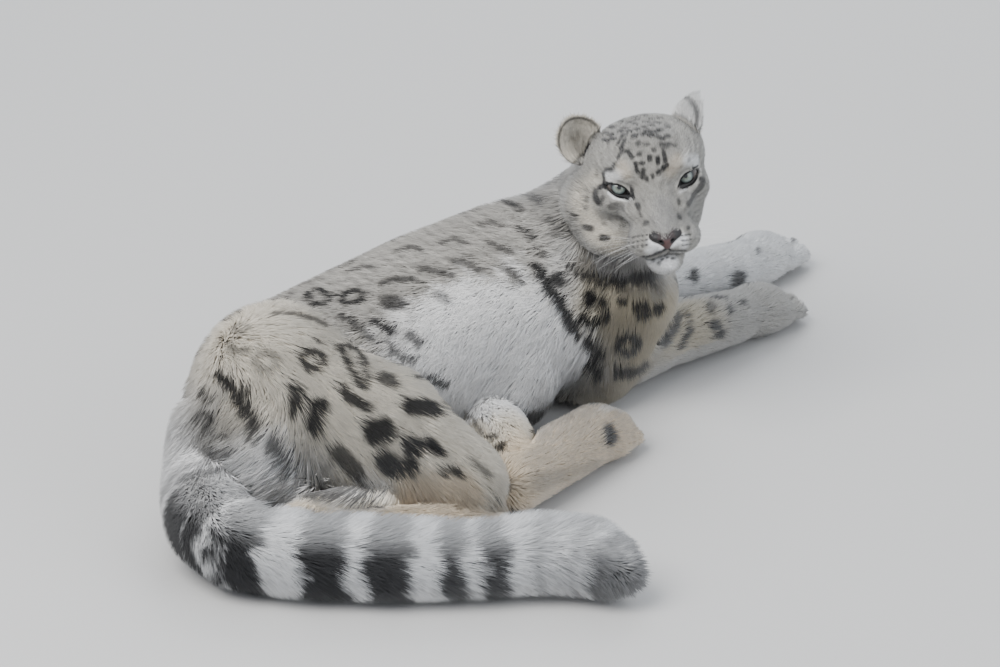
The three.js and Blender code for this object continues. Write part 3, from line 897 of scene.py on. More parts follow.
faceMarksAndShade = [
    spot(573.5, 133.6, 13, 7, 60, 0.85),
    spot(581.5, 149, 15, 9, 0, 0.97),
    spot(560.8, 147, 12, 3, 90, 0.8),
    spot(566, 163, 7, 5, 0, 0.7),
    line(0.9, 3, (609.6, 134), (606.7, 140.3)),
    line(0.9, 3, (620, 136), (616, 142.6)),
    line(0.9, 3.4, (623.7, 138), (620, 147)),
    line(0.92, 2.8, (617, 157), (620, 151), (627, 149.5), (632.5, 157)),
    spot(639, 153, 4.5, 3, 0, 0.9),
    line(0.92, 2.6, (635, 162.5), (638, 173)),
    spot(642.4, 163, 5.5, 3, 0, 0.9),
    line(0.92, 3, (644, 170), (641.5, 178)),
    spot(647, 179, 5, 3, 90, 0.85),
    spot(653, 176.4, 4, 2.6, 90, 0.85),
    spot(649.8, 157.7, 6, 2.8, 90, 0.9),
    spot(657.8, 160.3, 9, 3.4, 90, 0.95),
    line(0.9, 2.8, (664, 150), (665.5, 161)),
    spot(667, 165.7, 4, 3, 90, 0.9),
    spot(664, 168.4, 5, 3.6, 90, 0.95),
    spot(659, 172.4, 4, 4, 0, 0.9),
    spot(653.8, 149, 5, 3, 0, 0.85),
    spot(638, 141.6, 5, 4, 90, 0.8),
    spot(645.8, 143, 8, 2.4, 0, 0.8),
    spot(664.5, 144, 8, 5, 0, 0.8),
    spot(672.6, 143, 9, 2.6, 25, 0.85),
    spot(660.5, 136, 10, 3.4, 20, 0.9),
    spot(649.8, 129.5, 9, 4, 10, 0.85),
    spot(633.7, 135, 6, 4, 0, 0.75),
    line(0.92, 3.2, (613, 164), (611, 169.5), (604, 170), (600.5, 176), (599.5, 184)),
    line(0.95, 3.6, (610, 185.5), (603, 184.5), (596, 185.5)),
    line(0.95, 3.2, (630, 190), (633, 195)),
    line(0.92, 5.6, (592.5, 190), (594, 199), (597, 203)),
    spot(601, 198.5, 6, 4, 90, 0.75),
    # painted shade in the hollow under the right eye
    spot(615, 208, 13, 7, -8, 0.5),
    line(0.85, 3.4, (636.5, 202), (637.5, 207)),
    line(0.6, 1.8, (638, 207), (640, 217)),
    spot(624, 224.6, 4.5, 3, 0, 0.55),
    spot(645, 222.6, 6, 3.4, 0, 0.75),
    spot(570, 217, 9, 5, 0, 0.8),
    spot(585.5, 228, 13, 4.5, 8, 0.88),
    spot(604, 238.7, 10, 5, 5, 0.9),
    spot(603.6, 224, 6, 2.4, 0, 0.5),
    spot(583.5, 199, 8, 3.4, 90, 0.65),
    spot(582.8, 208.5, 6, 3, 90, 0.65),
    spot(557, 198, 6, 4, 90, 0.5),
    spot(552.7, 175.7, 6, 5, 0, 0.5),
    spot(583, 189, 4, 3.4, 0, 0.55),
    spot(593.6, 173.7, 5, 2.2, 90, 0.6),
    line(0.75, 4.6, (706, 181), (701, 189), (695, 199), (690, 204)),
    spot(704.7, 180, 6, 6, 0, 0.85),
    line(0.9, 3, (696, 168.5), (701, 167.5)),
    spot(690, 160, 3, 3, 0, 0.5),
    line(0.7, 2, (679, 197), (680, 203)),
    spot(680.6, 216, 4.4, 4, 0, 0.9),
    spot(688.6, 227, 4.4, 2.6, 90, 0.85),
    line(0.95, 3.0, (643, 258), (652, 256.5), (660, 253.5), (666, 251.5), (674, 252.5), (685, 252)),
    line(0.9, 2.0, (666, 246), (666, 252)),
    spot(661, 258.5, 4, 3, 0, 0.85),
    spot(667.5, 256, 4, 2.6, 0, 0.85),
    spot(658.5, 263.5, 4.4, 2.6, 60, 0.75),
    spot(674, 258, 3.4, 2.6, 0, 0.8),
]
# Rows of small dashes over the crown, and rows of whisker dots
for row in range(5):
    for i in range(7):
        x = 604 + 9.6 * i + (4.8 if row % 2 else 0) + 1.6 * math.sin(5 * i + 3 * row)
        y = 113.5 + 4.7 * row + 1.5 * math.sin(3 * i + row) + 0.006 * (x - 637) ** 2
        faceMarksAndShade.append(spot(x, y, 6.8, 3.0, 8 * math.sin(i + 2 * row), 0.95))
for row in range(3):
    for i in range(5):
        faceMarksAndShade.append(spot(646.5 - 4.6 * i, 234.0 + 5.4 * row + 0.9 * i, 2.0, 1.8, 0, 0.95))
        if i < 3:
            faceMarksAndShade.append(spot(683.0 + 3.8 * i, 235.5 + 5.2 * row - 0.6 * i, 1.8, 1.6, 0, 0.95))

# Soft areas of another colour, and of painted shade under the chin, on the throat and under the left hind
# foot: colour, amount, width and points, in pixels of the picture
palette = {
    "white": (0.955, 0.955, 0.955),
    "cream": (0.905, 0.875, 0.815),
    "tan": (0.885, 0.82, 0.725),
    "smoke": (0.71, 0.70, 0.68),
    "straw": (0.755, 0.715, 0.625),
    "slate": (0.58, 0.58, 0.59),
    # a dark brown-grey painted where shade falls: under the chin, on the throat, under the left hind foot and
    # in the ear hollows
    "dusk": (0.34, 0.325, 0.305),
    "faceGrey": (0.705, 0.695, 0.67),
    "black": (0.08, 0.083, 0.10),
    "lip": (0.04, 0.036, 0.038),
}


def paint(name):  # to the linear values that shaders use
    return np.array(palette[name]) ** 2.2


areas = [
    ("white", 1.0, 150, [(470, 330), (520, 350), (545, 385)]),
    ("white", 0.9, 60, [(470, 400), (540, 410)]),
    ("straw", 0.85, 76, [(600, 300), (640, 330), (700, 320)]),
    # painted shadow on the throat under the chin
    ("dusk", 0.6, 34, [(590, 268), (625, 278), (660, 285)]),
    ("smoke", 0.7, 50, [(540, 230), (560, 280)]),
    ("white", 0.95, 40, [(690, 285), (740, 262), (800, 245)]),
    ("cream", 0.9, 120, [(270, 380), (340, 400), (430, 430)]),
    ("white", 0.8, 30, [(265, 450), (285, 480), (270, 500)]),
    ("tan", 0.95, 56, [(510, 465), (560, 440), (600, 420)]),
    ("tan", 0.9, 40, [(420, 500), (460, 497), (520, 505)]),
    ("white", 0.7, 24, [(290, 497), (340, 500), (380, 497)]),
    # painted shade along the underside of the left hind foot
    ("dusk", 0.35, 16, [(510, 486), (560, 478), (600, 465)]),
]
faceAreas = [
    ("cream", 0.75, 26, [(578, 205), (590, 228), (612, 246)]),
    ("cream", 0.5, 20, [(590, 180), (575, 190)]),
    ("white", 0.75, 12, [(606, 177), (617, 176)]),
    ("white", 0.75, 12, [(688, 160), (700, 160)]),
    ("white", 0.95, 3.2, [(607, 192), (614, 198), (624, 199), (632, 196.5)]),
    ("white", 0.95, 3.2, [(680, 190), (688, 187), (695, 180), (698, 174)]),
    ("white", 0.9, 10, [(652, 243), (660, 249), (650, 252)]),
    ("white", 0.9, 9, [(673, 246), (684, 238), (684, 247)]),
    ("white", 1.0, 20, [(650, 268), (672, 266)]),
    ("slate", 0.35, 24, [(662, 205), (662, 222)]),
    ("slate", 0.25, 30, [(625, 125), (655, 125)]),
    ("tan", 0.3, 13, [(621, 166), (625, 175)]),
    ("tan", 0.3, 14, [(678, 160), (672, 172)]),
    # painted shadow under the jaw
    ("dusk", 0.75, 14, [(600, 262), (620, 266), (640, 272)]),
]


# Rays from the camera, walked to the coat's surface or to where they pass it closest
def castOnCoat(pixels):
    pixels = np.asarray(pixels, float)
    ray = -towardCamera + np.outer((pixels[:, 0] - view["width"] / 2) / focalPixels, [1.0, 0, 0])
    ray = unit(ray + np.outer((view["height"] / 2 - pixels[:, 1]) / focalPixels, viewUp))
    travelled = np.full(len(pixels), view["distance"] - 900.0)
    closest = np.full(len(pixels), np.inf)
    where = np.zeros((len(pixels), 3))
    for _ in range(70):
        p = cameraPlace + ray * travelled[:, None]
        gap = coatDistance(p)
        nearer = gap < closest
        closest[nearer] = gap[nearer]
        where[nearer] = p[nearer]
        travelled += np.where(gap > 0.2, np.maximum(gap * 0.9, 0.2), 0)
    return where


def layStrokes(marks, scale, spread=1.0):
    pixels = np.concatenate([points for *_, points in marks])
    placed = castOnCoat(pixels)
    strokes, start = [], 0
    for mark in marks:
        count = len(mark[-1])
        strokes.append((mark[:-2], mark[-2] / scale / 2 * spread, placed[start : start + count]))
        start += count
    return strokes


# Distance to a stroke's line, for the points near it. How far a point stands off the coat counts little.
def nearStroke(p, normals, points, reach):
    standOff = 14.0
    low, high = points.min(axis=0) - reach - standOff, points.max(axis=0) + reach + standOff
    near = np.flatnonzero(((p > low) & (p < high)).all(axis=1))
    gap = np.full(len(near), np.inf)
    q, n = p[near], normals[near]
    for a, b in zip(points[:-1], points[1:]):
        run = b - a
        share = np.clip((q - a) @ run / max(run @ run, 1e-9), 0, 1)
        away = q - a - share[:, None] * run
        off = (away * n).sum(axis=1)
        flat = np.maximum(0, (away**2).sum(axis=1) - off**2) + (0.25 * off) ** 2
        gap = np.minimum(gap, np.where(np.abs(off) < standOff, np.sqrt(flat), np.inf))
    return near, gap


edgeNoise = Waves(3, 9.0)
blotchNoise = Waves(5, 34.0)
tickNoise = Waves(7, 13.0)
faceNoise = Waves(9, 7.0)


def markAndShadeDarkness(p, normals, strokes, softness, raggedness):
    dark = np.zeros(len(p))
    for (shade,), half, points in strokes:
        soft = softness + 0.25 * half
        near, gap = nearStroke(p, normals, points, half + soft + raggedness * 3)
        if len(near) == 0:
            continue
        gap = gap + raggedness * edgeNoise(p[near])
        dark[near] = np.maximum(dark[near], shade * smooth(half + soft, half - soft * 0.6, gap))
    return dark


def washAreas(colour, p, normals, strokes):
    for (name, amount), half, points in strokes:
        near, gap = nearStroke(p, normals, points, half * 1.7)
        share = amount * smooth(half * 1.6, half * 0.4, gap)
        colour[near] += share[:, None] * (paint(name) - colour[near])


grounds = {
    "trunk": "smoke",
    "neck": "smoke",
    "thighRight": "cream",
    "thighLeft": "cream",
    "upperArmRight": "straw",
    "upperArmLeft": "straw",
    "shankRight": "cream",
    "shankLeft": "cream",
    "foreLimbRight": "smoke",
    "foreLimbLeft": "white",
    "hindFootRight": "tan",
    "hindFootLeft": "tan",
    "tail": "white",
    "head": "faceGrey",
}
bellySide = unit(np.array([[0.64, -0.70, -0.32]]))[0]
# Bands round the tail: a picture point on the middle of each, half its length in mm, and shade
tailBands = [
    (180, 500, 8, 0.5),
    (178, 530, 17, 0.9),
    (217, 545, 13, 0.92),
    (256, 550, 21, 0.95),
    (328, 566, 27, 0.96),
    (392, 572, 22, 0.95),
    (455, 563, 14, 0.92),
    (493, 557, 15, 0.92),
    (545, 558, 8, 0.35),
    (585, 560, 8, 0.35),
    (632, 568, 18, 0.72),
]


def coatDistance(p):
    distances = partDistances(p)
    joined = distances[:, 0]
    for i, name in enumerate(partNames[1:], start=1):
        joined = blendUnion(joined, distances[:, i], min(parts[name]["fillet"], 12))
    return joined


def tailPlaceAt(x, y):
    points = tail.balls[:, :3]
    share = np.linspace(0, 1, 900) * (len(points) - 1)
    low = np.minimum(share.astype(int), len(points) - 2)
    fine = points[low] + (share - low)[:, None] * (points[low + 1] - points[low])
    px, py = toPixels(fine)
    run = np.concatenate([[0], np.cumsum(np.linalg.norm(np.diff(fine, axis=0), axis=1))])
    return run[np.argmin((px - x) ** 2 + (py - y) ** 2)]


bandPlaces = [(tailPlaceAt(x, y), half, shade) for x, y, half, shade in tailBands]


# Painted shade in the grooves between the toes, as soft dark lines: how far short of the tip, and height as a
# share of the foot's
toeGapShade = {
    "shade": 0.5,
    "half": 1.5,
    "across": [-0.25, 0, 0.25],
    "spread": 0.83,
    "run": [(58, 1.0), (34, 1.0), (12, 0.8), (2, 0.35)],
}


def toeGapShadeLines():
    shadeLines = []
    for heel, tip, shape in feet.values():
        heel, tip = np.array(heel[:2], float), np.array(tip[:2], float)
        reach = np.linalg.norm(tip - heel)
        ahead = (tip - heel) / reach
        across = np.array([-ahead[1], ahead[0]])
        for share in toeGapShade["across"]:
            points = []
            for short, rise in toeGapShade["run"]:
                place = heel + ahead * (reach - short) + across * share * shape["width"] * toeGapShade["spread"]
                points.append([*place, shape["height"] * rise])
            shadeLines.append(((toeGapShade["shade"],), toeGapShade["half"], np.array(points)))
    return shadeLines


# Seeded rosettes and spots where the picture doesn't show the coat
hiddenMarks = {"seed": 11, "trunk": (46, 13.5), "limb": (30, 7.0), "head": (13, 2.6)}


def layHidden(p, normals, shares):
    dice = np.random.default_rng(hiddenMarks["seed"])
    strokes = []
    names = np.array(partNames)[shares.argmax(axis=1)]
    away = normals @ towardCamera < 0.08
    kinds = np.where(np.isin(names, ["trunk", "neck", "thighRight"]), "trunk", "limb")
    kinds[names == "head"] = "head"
    kinds[names == "tail"] = "none"
    white = normals @ bellySide > 0.7
    for kind in ("trunk", "limb", "head"):
        spacing, size = hiddenMarks[kind]
        pool = np.flatnonzero(away & (kinds == kind) & ~white)
        pool = dice.permutation(pool)[:6000]
        chosen = np.zeros((0, 3))
        for i in pool:
            if len(chosen) and np.min(((chosen - p[i]) ** 2).sum(axis=1)) < spacing**2:
                continue
            chosen = np.vstack([chosen, p[i]])
            across = unit(np.cross(normals[i], dice.normal(size=3))[None])[0]
            beside = np.cross(normals[i], across)
            r = size * dice.uniform(0.75, 1.25)
            if kind == "trunk":
                a = np.radians(dice.uniform(0, 360) + np.linspace(0, dice.uniform(250, 350), 9))[:, None]
                loop = p[i] + r * (across * np.cos(a) + 0.8 * beside * np.sin(a))
                strokes.append(((0.72,), 3.4, loop))
            else:
                reach = across * r * 0.5
                strokes.append(((0.85,), r * 0.55, np.array([p[i] - reach, p[i] + reach])))
    return strokes


def coatColour(p, normals, shares, laid):
    colour = shares @ np.array([paint(grounds[name]) for name in partNames])
    index = {name: i for i, name in enumerate(partNames)}
    trunkShare = shares[:, index["trunk"]] + 0.5 * shares[:, index["neck"]]
    belly = smooth(0.1, 0.72, normals @ bellySide + 0.12 * blotchNoise(p)) * trunkShare
    colour += belly[:, None] * (paint("white") - colour)
    ticking = 1 - 0.19 * (1 + tickNoise(p)) * np.clip(trunkShare * (1 - belly), 0, 1) ** 0.7
    colour *= ticking[:, None]
    washAreas(colour, p, normals, laid["areas"])
    headShare = shares[:, index["head"]]
    onHead = headShare > 0.3
    face = colour[onHead]
    q = toHead(p[onHead])
    ruff = smooth(10, 60, q[:, 1]) * smooth(10, -40, q[:, 2])
    face *= 1 - 0.18 * (1 + faceNoise(p[onHead])[:, None])
    face += 0.5 * ruff[:, None] * (paint("cream") - face)
    washAreas(face, p[onHead], normals[onHead], laid["faceAreas"])
    colour[onHead] = face
    dark = np.maximum(
        markAndShadeDarkness(p, normals, laid["body"], 2.0, 1.3) * (1 - onHead),
        # hidden-side marks and the painted shade between the toes
        markAndShadeDarkness(p, normals, laid["hidden"], 2.0, 1.3),
    )
    dark[onHead] = np.maximum(dark[onHead], markAndShadeDarkness(p[onHead], normals[onHead], laid["face"], 0.4, 0.25))
    onTail = shares[:, index["tail"]] > 0.5
    place, _, out = alongLine(p[onTail], lines["tail"])
    wander = place + 4.5 * blotchNoise(p[onTail]) + 2.5 * edgeNoise(p[onTail])
    upward = np.clip(unit(out)[:, 2], -1, 1)
    banded = np.zeros(len(place))
    for middle, half, shade in bandPlaces:
        fade = 1 - 0.5 * smooth(0.35, 1.0, upward)
        banded = np.maximum(banded, shade * fade * smooth(half + 7, half - 5, np.abs(wander - middle)))
    tailEnd = smooth(tailPlaceAt(500, 560), tailPlaceAt(560, 560), place)
    slate = 0.4 * tailEnd * (0.6 + 0.4 * tickNoise(p[onTail]))
    colour[onTail] += slate[:, None] * (paint("slate") - colour[onTail])
    dark[onTail] = np.maximum(dark[onTail], banded)
    colour += dark[:, None] * (paint("black") - colour)
    return colour


# Ears: a dish each, its wall the same all over, with a rounded brim
ears = {
    "halfWidth": 26.5,
    "halfHeight": 32.5,
    "depth": 15.0,
    "wall": 3.4,
    "lean": 24.0,
    "right": (-1, 8.0, [-73, 68, 41]),
    "left": (1, 118.0, [57, 74, 37]),
    "rows": 22,
    "sides": 56,
}


# Rows run from the middle of the back over the brim to the middle of the hollow.
# The dish's depth falls as 1 - share squared.
def earGrid(side, turn, centre):
    rows = ears["rows"]
    t = np.linspace(-1, 1, 2 * rows + 1)
    a = np.linspace(0, 2 * math.pi, ears["sides"], endpoint=False)
    share = np.where(np.abs(t) < 1e-9, 1.0, np.sin((1 - np.abs(t)) * math.pi / 2))
    bend = ears["depth"] * (1 - share**2)
    thick = ears["wall"] / 2 * np.sqrt(np.clip(1 - share**6, 0, 1))
    y = bend - np.sign(t) * thick
    narrow = 1 - 0.12 * np.maximum(np.sin(a), 0) ** 2
    x = ears["halfWidth"] * share[:, None] * np.cos(a) * narrow
    z = ears["halfHeight"] * share[:, None] * np.sin(a)
    points = np.stack([x, np.broadcast_to(y[:, None], x.shape), z], axis=2).reshape(-1, 3)
    spin = turnMatrix("Y", side * ears["lean"]) @ turnMatrix("Z", turn)
    return fromHead(points @ spin.T + np.array(centre, float))


def gridFaces(rows, sides):
    r, s = np.meshgrid(np.arange(rows - 1), np.arange(sides), indexing="ij")
    n = (s + 1) % sides
    low, high = r * sides, (r + 1) * sides
    return np.stack([low + s, low + n, high + n, high + s], axis=2).reshape(-1, 4)


def earBody(side, turn, centre):
    points = earGrid(side, turn, centre)
    rows = 2 * ears["rows"] + 1
    faces = gridFaces(rows, ears["sides"])
    return points, faces[:, ::-1] if signedVolume(points, faces) < 0 else faces


def signedVolume(points, faces):
    a, b, c, d = (points[faces[:, k]] for k in range(4))
    return (a * np.cross(b, c)).sum() + (a * np.cross(c, d)).sum()


def joinEars(mesh):
    base = meshPoints(mesh)
    loops = [tuple(f.vertices) for f in mesh.polygons]
    points, faces, start = [base], loops, len(base)
    for name in ("right", "left"):
        p, f = earBody(*ears[name])
        points.append(p)
        faces = faces + [tuple(row) for row in (f + start).tolist()]
        start += len(p)
    whole = bpy.data.meshes.new("skin")
    whole.from_pydata(toFrame(np.concatenate(points)), [], faces)
    work = bmesh.new()
    work.from_mesh(whole)
    bmesh.ops.remove_doubles(work, verts=work.verts, dist=0.00002)
    work.to_mesh(whole)
    work.free()
    whole.validate()
    whole.shade_smooth()
    return whole


skin = makeSkin()
skin.data = joinEars(skin.data)
stage("ears joined")


def skinArrays(mesh):
    points = meshPoints(mesh)
    flat = np.empty(len(points) * 3, np.float32)
    mesh.vertices.foreach_get("normal", flat)
    normals = flat.reshape(-1, 3).astype(float)
    mesh.calc_loop_triangles()
    faces = np.empty(len(mesh.loop_triangles) * 3, np.int32)
    mesh.loop_triangles.foreach_get("vertices", faces)
    return points, normals, faces.reshape(-1, 3)


skinPoints, skinNormals, skinFaces = skinArrays(skin.data)
skinShares = partShares(partDistances(skinPoints))
partDepths = np.array([parts[name]["depth"] for name in partNames])
onEar = np.zeros(len(skinPoints), bool)
for name in ("right", "left"):
    centre = fromHead(np.array(ears[name][2], float))
    far = coatDistance(skinPoints) > -1.0
    onEar |= far & (np.linalg.norm(skinPoints - centre, axis=1) < 48)
coatTop = skinPoints + skinNormals * np.where(onEar, 2.0, skinShares @ partDepths)[:, None]

laid = {
    "body": layStrokes(bodyMarksAndShade, view["pixelsPerMm"], 1.3),
    "face": layStrokes(faceMarksAndShade, view["pixelsPerMm"], 1.5),
    "areas": layStrokes(areas, view["pixelsPerMm"]),
    "faceAreas": layStrokes(faceAreas, view["pixelsPerMm"]),
}
# the painted shade between the toes goes in with the marks on the hidden side
laid["hidden"] = layHidden(coatTop, skinNormals, skinShares) + toeGapShadeLines()
stage("markings laid: %d strokes" % sum(len(s) for s in laid.values()))


# Shader maths: one class round a socket
class Wire:
    def __init__(self, tree, socket):
        self.tree, self.socket = tree, socket

    def math(self, operation, other):
        node = self.tree.nodes.new("ShaderNodeMath")
        node.operation = operation
        for socket, value in zip(node.inputs, (self, other)):
            if isinstance(value, Wire):
                self.tree.links.new(value.socket, socket)
            else:
                socket.default_value = value
        return Wire(self.tree, node.outputs[0])

    def __add__(self, other):
        return self.math("ADD", other)

    def __mul__(self, other):
        return self.math("MULTIPLY", other)


class Finish:
    def __init__(self, name, **constants):
        self.material = bpy.data.materials.new(name)
        self.material.use_nodes = True
        self.tree = self.material.node_tree
        self.shader = self.tree.nodes["Principled BSDF"]
        for socket, value in constants.items():
            self.shader.inputs[socket.replace("_", " ")].default_value = value

    # A node of a type: its settings, then its sockets' values or links. A key i2 means socket number 2.
    def node(self, kind, settings=None, out=0, **sockets):
        made = self.tree.nodes.new("ShaderNode" + kind)
        for key, value in (settings or {}).items():
            setattr(made, key, value)
        for key, value in sockets.items():
            numbered = key[0] == "i" and key[1:].isdigit()
            socket = made.inputs[int(key[1:])] if numbered else made.inputs[key]
            if isinstance(value, Wire):
                self.tree.links.new(value.socket, socket)
            else:
                socket.default_value = value
        return Wire(self.tree, made.outputs[out])

    def attribute(self, name):
        return self.node("Attribute", {"attribute_name": name})

    def place(self):
        return self.node("TexCoord", out=3)

    def noise(self, scale, detail=3.0):
        return self.node("TexNoise", Vector=self.place(), Scale=scale, Detail=detail)

    def mix(self, share, a, b, blend="MIX"):
        return self.node("Mix", {"data_type": "RGBA", "blend_type": blend}, out=2, i0=share, i6=a, i7=b)

    def ramp(self, value, stops):
        node = self.tree.nodes.new("ShaderNodeValToRGB")
        marks = node.color_ramp.elements
        while len(marks) < len(stops):
            marks.new(0.5)
        for mark, (at, colour) in zip(marks, stops):
            mark.position = at
            mark.color = (*colour, 1) if isinstance(colour, tuple) else (colour, colour, colour, 1)
        self.tree.links.new(value.socket, node.inputs[0])
        return Wire(self.tree, node.outputs[0])

    def bump(self, height, strength, distance):
        normal = self.node("Bump", Height=height, Strength=strength, Distance=distance)
        self.feed("Normal", normal)

    def feed(self, socket, value):
        self.tree.links.new(value.socket, self.shader.inputs[socket])


def hairFinish(name, tone):
    finish = Finish(name, Roughness=0.78, Sheen_Weight=0.25, Sheen_Roughness=0.45)
    finish.shader.inputs["Specular IOR Level"].default_value = 0.25
    coat = finish.attribute("coat")
    grain = finish.noise(tone["grain"], 2.0)
    low, high = tone["range"]
    shade = grain * (high - low) + low
    grey = finish.node("CombineColor", i0=shade, i1=shade, i2=shade)
    finish.feed("Base Color", finish.mix(1.0, coat, grey, "MULTIPLY"))
    return finish.material


def hideFinish():
    finish = Finish("coat_under", Roughness=0.9, Sheen_Weight=0.2)
    finish.shader.inputs["Specular IOR Level"].default_value = 0.2
    coat = finish.attribute("coat")
    streaks = finish.noise(420.0, 4.0)
    clumps = finish.noise(120.0, 3.0)
    shade = streaks * 0.4 + clumps * 0.2 + 0.66
    grey = finish.node("CombineColor", i0=shade, i1=shade, i2=shade)
    finish.feed("Base Color", finish.mix(1.0, coat, grey, "MULTIPLY"))
    finish.bump(streaks + clumps * 0.6, 0.6, 0.0012)
    return finish.material


finishes = {
    "hide": hideFinish(),
    "long": hairFinish("coat_long", {"grain": 90.0, "range": (0.9, 1.12)}),
    "short": hairFinish("coat_short", {"grain": 260.0, "range": (0.8, 1.14)}),
}


def setColour(mesh, name, colours):
    attribute = mesh.color_attributes.new(name, "FLOAT_COLOR", "POINT")
    full = np.ones((len(colours), 4), np.float32)
    full[:, :3] = np.clip(colours, 0, 1)
    attribute.data.foreach_set("color", full.ravel())


# The nose: leather between the nostrils, a wing over each, narrowing to the cleft
nose = {
    "wings": [[11, -64, -43], [9, 11, 7]],
    "middle": [[0, -66, -47], [12, 13, 9]],
    "foot": [[0, -65, -54], [5, 10, 7]],
    "nostril": [[8.4, -76.5, -47.5], [3.6, 5.0, 2.6]],
    "furLine": -46.0,  # the coat of the bridge comes down to here in the middle
    "pink": (0.088, 0.040, 0.038),
    "black": (0.016, 0.014, 0.015),
    "rows": 46,
    "sides": 72,
}
noseMass = flow(
    5,
    *both(lambda s: headEgg(nose["wings"][0] * np.array([s, 1, 1]), nose["wings"][1])),
    headEgg(*nose["middle"]),
    headEgg(*nose["foot"]),
)


def noseGap(q):
    return noseMass(fromHead(q))


rootShade = 0.86  # painted shade: how much darker the coat is painted down at the skin, where the tufts shade each other
skinColour = coatColour(coatTop, skinNormals, skinShares, laid)
headSkin = toHead(skinPoints)
rim = np.full(len(skinPoints), 99.0)
for side in (-1, 1):
    near = np.linalg.norm(headSkin - eyeCentre(side), axis=1) < 40
    behind = headSkin[near][:, 1] > eye["back"]
    rim[near] = np.minimum(rim[near], openingGap(headSkin[near], side) + 40 * behind)
bare = np.maximum(smooth(3.6, 2.2, rim), smooth(0.5, -1.0, noseGap(headSkin)))
# painted shade: the skin under the coat is painted darker
skinColour = skinColour * rootShade
skinColour += bare[:, None] * (paint("lip") - skinColour)
setColour(skin.data, "coat", skinColour)
skin.data.materials.append(finishes["hide"])
stage("skin painted")


# Tufts: a closed spike each, three-sided, its root in the skin and its tip at the surface of the coat
coats = {
    # name: part or parts, count, width, material, slot
    "fur_head": (["head"], 47000, 1.35, "short", "coat_face"),
    "fur_neck": (["neck"], 28000, 2.6, "long", "coat_back"),
    "fur_chest": (["trunk", 0.56, 2.0], 42000, 3.1, "long", "coat_belly"),
    "fur_loin": (["trunk", 0.27, 0.56], 40000, 3.3, "long", "coat_back"),
    "fur_hips": (["trunk", -1.0, 0.27], 22000, 3.4, "long", "coat_back"),
    "fur_haunch": (["thighRight", "shankRight", "thighLeft", "shankLeft"], 44000, 2.7, "long", "coat_leg"),
    "fur_arms": (["upperArmRight", "upperArmLeft"], 26000, 2.5, "long", "coat_leg"),
    "fur_forelegs": (["foreLimbRight", "foreLimbLeft"], 40000, 1.9, "short", "coat_foot"),
    "fur_hind_feet": (["hindFootRight", "hindFootLeft"], 26000, 2.0, "short", "coat_foot"),
    "fur_tail": (["tail"], 47000, 3.4, "long", "coat_tail"),
    "fur_ears": (["ear"], 12000, 1.15, "short", "coat_ear"),
}
clumpWaves = [Waves(21 + k, 30.0) for k in range(3)]
fineWaves = [Waves(31 + k, 9.0) for k in range(3)]
floorClear = 0.7
patchWidth = 0.003  # widest a tuft's place on the map may be
coatSeed = 100

faceShares = skinShares[skinFaces].mean(axis=1)
faceEar = onEar[skinFaces].mean(axis=1) > 0.5
faceLabels = np.array(partNames)[faceShares.argmax(axis=1)]
faceMiddles = skinPoints[skinFaces].mean(axis=1)
corner0, corner1, corner2 = (skinPoints[skinFaces[:, k]] for k in range(3))
faceAreasMm = np.linalg.norm(np.cross(corner1 - corner0, corner2 - corner0), axis=1) / 2
trunkPlace = alongLine(faceMiddles, lines["trunk"])[0]
trunkPlace = 1 - trunkPlace / trunkPlace.max()


def facesOf(names):
    if names[0] == "ear":
        return np.flatnonzero(faceEar)
    if names[0] == "trunk":
        _, low, high = names
        return np.flatnonzero((faceLabels == "trunk") & (trunkPlace >= low) & (trunkPlace < high) & ~faceEar)
    return np.flatnonzero(np.isin(faceLabels, names) & ~faceEar)


# Roots spread evenly: as many on each face as its area asks for
def scatter(faces, count, dice, weight):
    mass = faceAreasMm[faces] * weight
    edges = np.cumsum(mass)
    picks = np.searchsorted(edges, (np.arange(count) + dice.uniform(0, 1, count)) / count * edges[-1])
    face = faces[np.minimum(picks, len(faces) - 1)]
    a = np.sqrt(dice.uniform(0, 1, count))[:, None]
    b = dice.uniform(0, 1, count)[:, None]
    corners = skinFaces[face]
    weights = (1 - a, a * (1 - b), a * b)

    def mixed(values):
        return sum(weights[k] * values[corners[:, k]] for k in range(3))

    return mixed(skinPoints), unit(mixed(skinNormals)), mixed(skinShares)


# The ears' hair runs up and outward from a point below the middle of each
def lieOfEar(root, normal):
    q = toHead(root)
    centres = [np.array(ears[name][2], float) for name in ("right", "left")]
    gaps = [np.linalg.norm(q - centre, axis=1) for centre in centres]
    nearest = np.where((gaps[0] < gaps[1])[:, None], *centres)
    way = unit((q - nearest + [0, 0, 34]) @ headTurn.T)
    return unit(way - (way * normal).sum(axis=1, keepdims=True) * normal)


# The head's tufts: short and fine on the face, long in the ruff, none over the eyes or on the leather
def fitHead(root, normal, width):
    q = toHead(root)
    near = smooth(60, -40, q[:, 1])
    ruff = smooth(5, 45, q[:, 1]) * smooth(20, -20, q[:, 2])
    length = 7.2 - 2.2 * near + 24 * ruff
    depth = 3.2 - 1.1 * near + 8.0 * ruff
    wide = width * (1.05 - 0.4 * near + 0.5 * ruff)
    gap = np.full(len(root), 99.0)
    for side in (-1, 1):
        far = np.linalg.norm(q - eyeCentre(side), axis=1) > 34
        gap = np.minimum(gap, openingGap(q, side) + 60 * far)
    onPad = (noseGap(q) < 1.0) & (q[:, 2] < nose["furLine"] + 0.35 * np.abs(q[:, 0]))
    for _ in range(5):  # the bridge's coat runs on over the top of the nose
        sunk = np.minimum(noseGap(toHead(root)) + 0.6, 0)
        root = root - normal * np.where(onPad, 0, sunk)[:, None]
    closeness = smooth(14, 1.5, gap)
    length *= 1 - 0.66 * closeness
    depth *= 1 - 0.6 * closeness
    return root, depth, length, wide, (gap > 2.0) & ~onPad


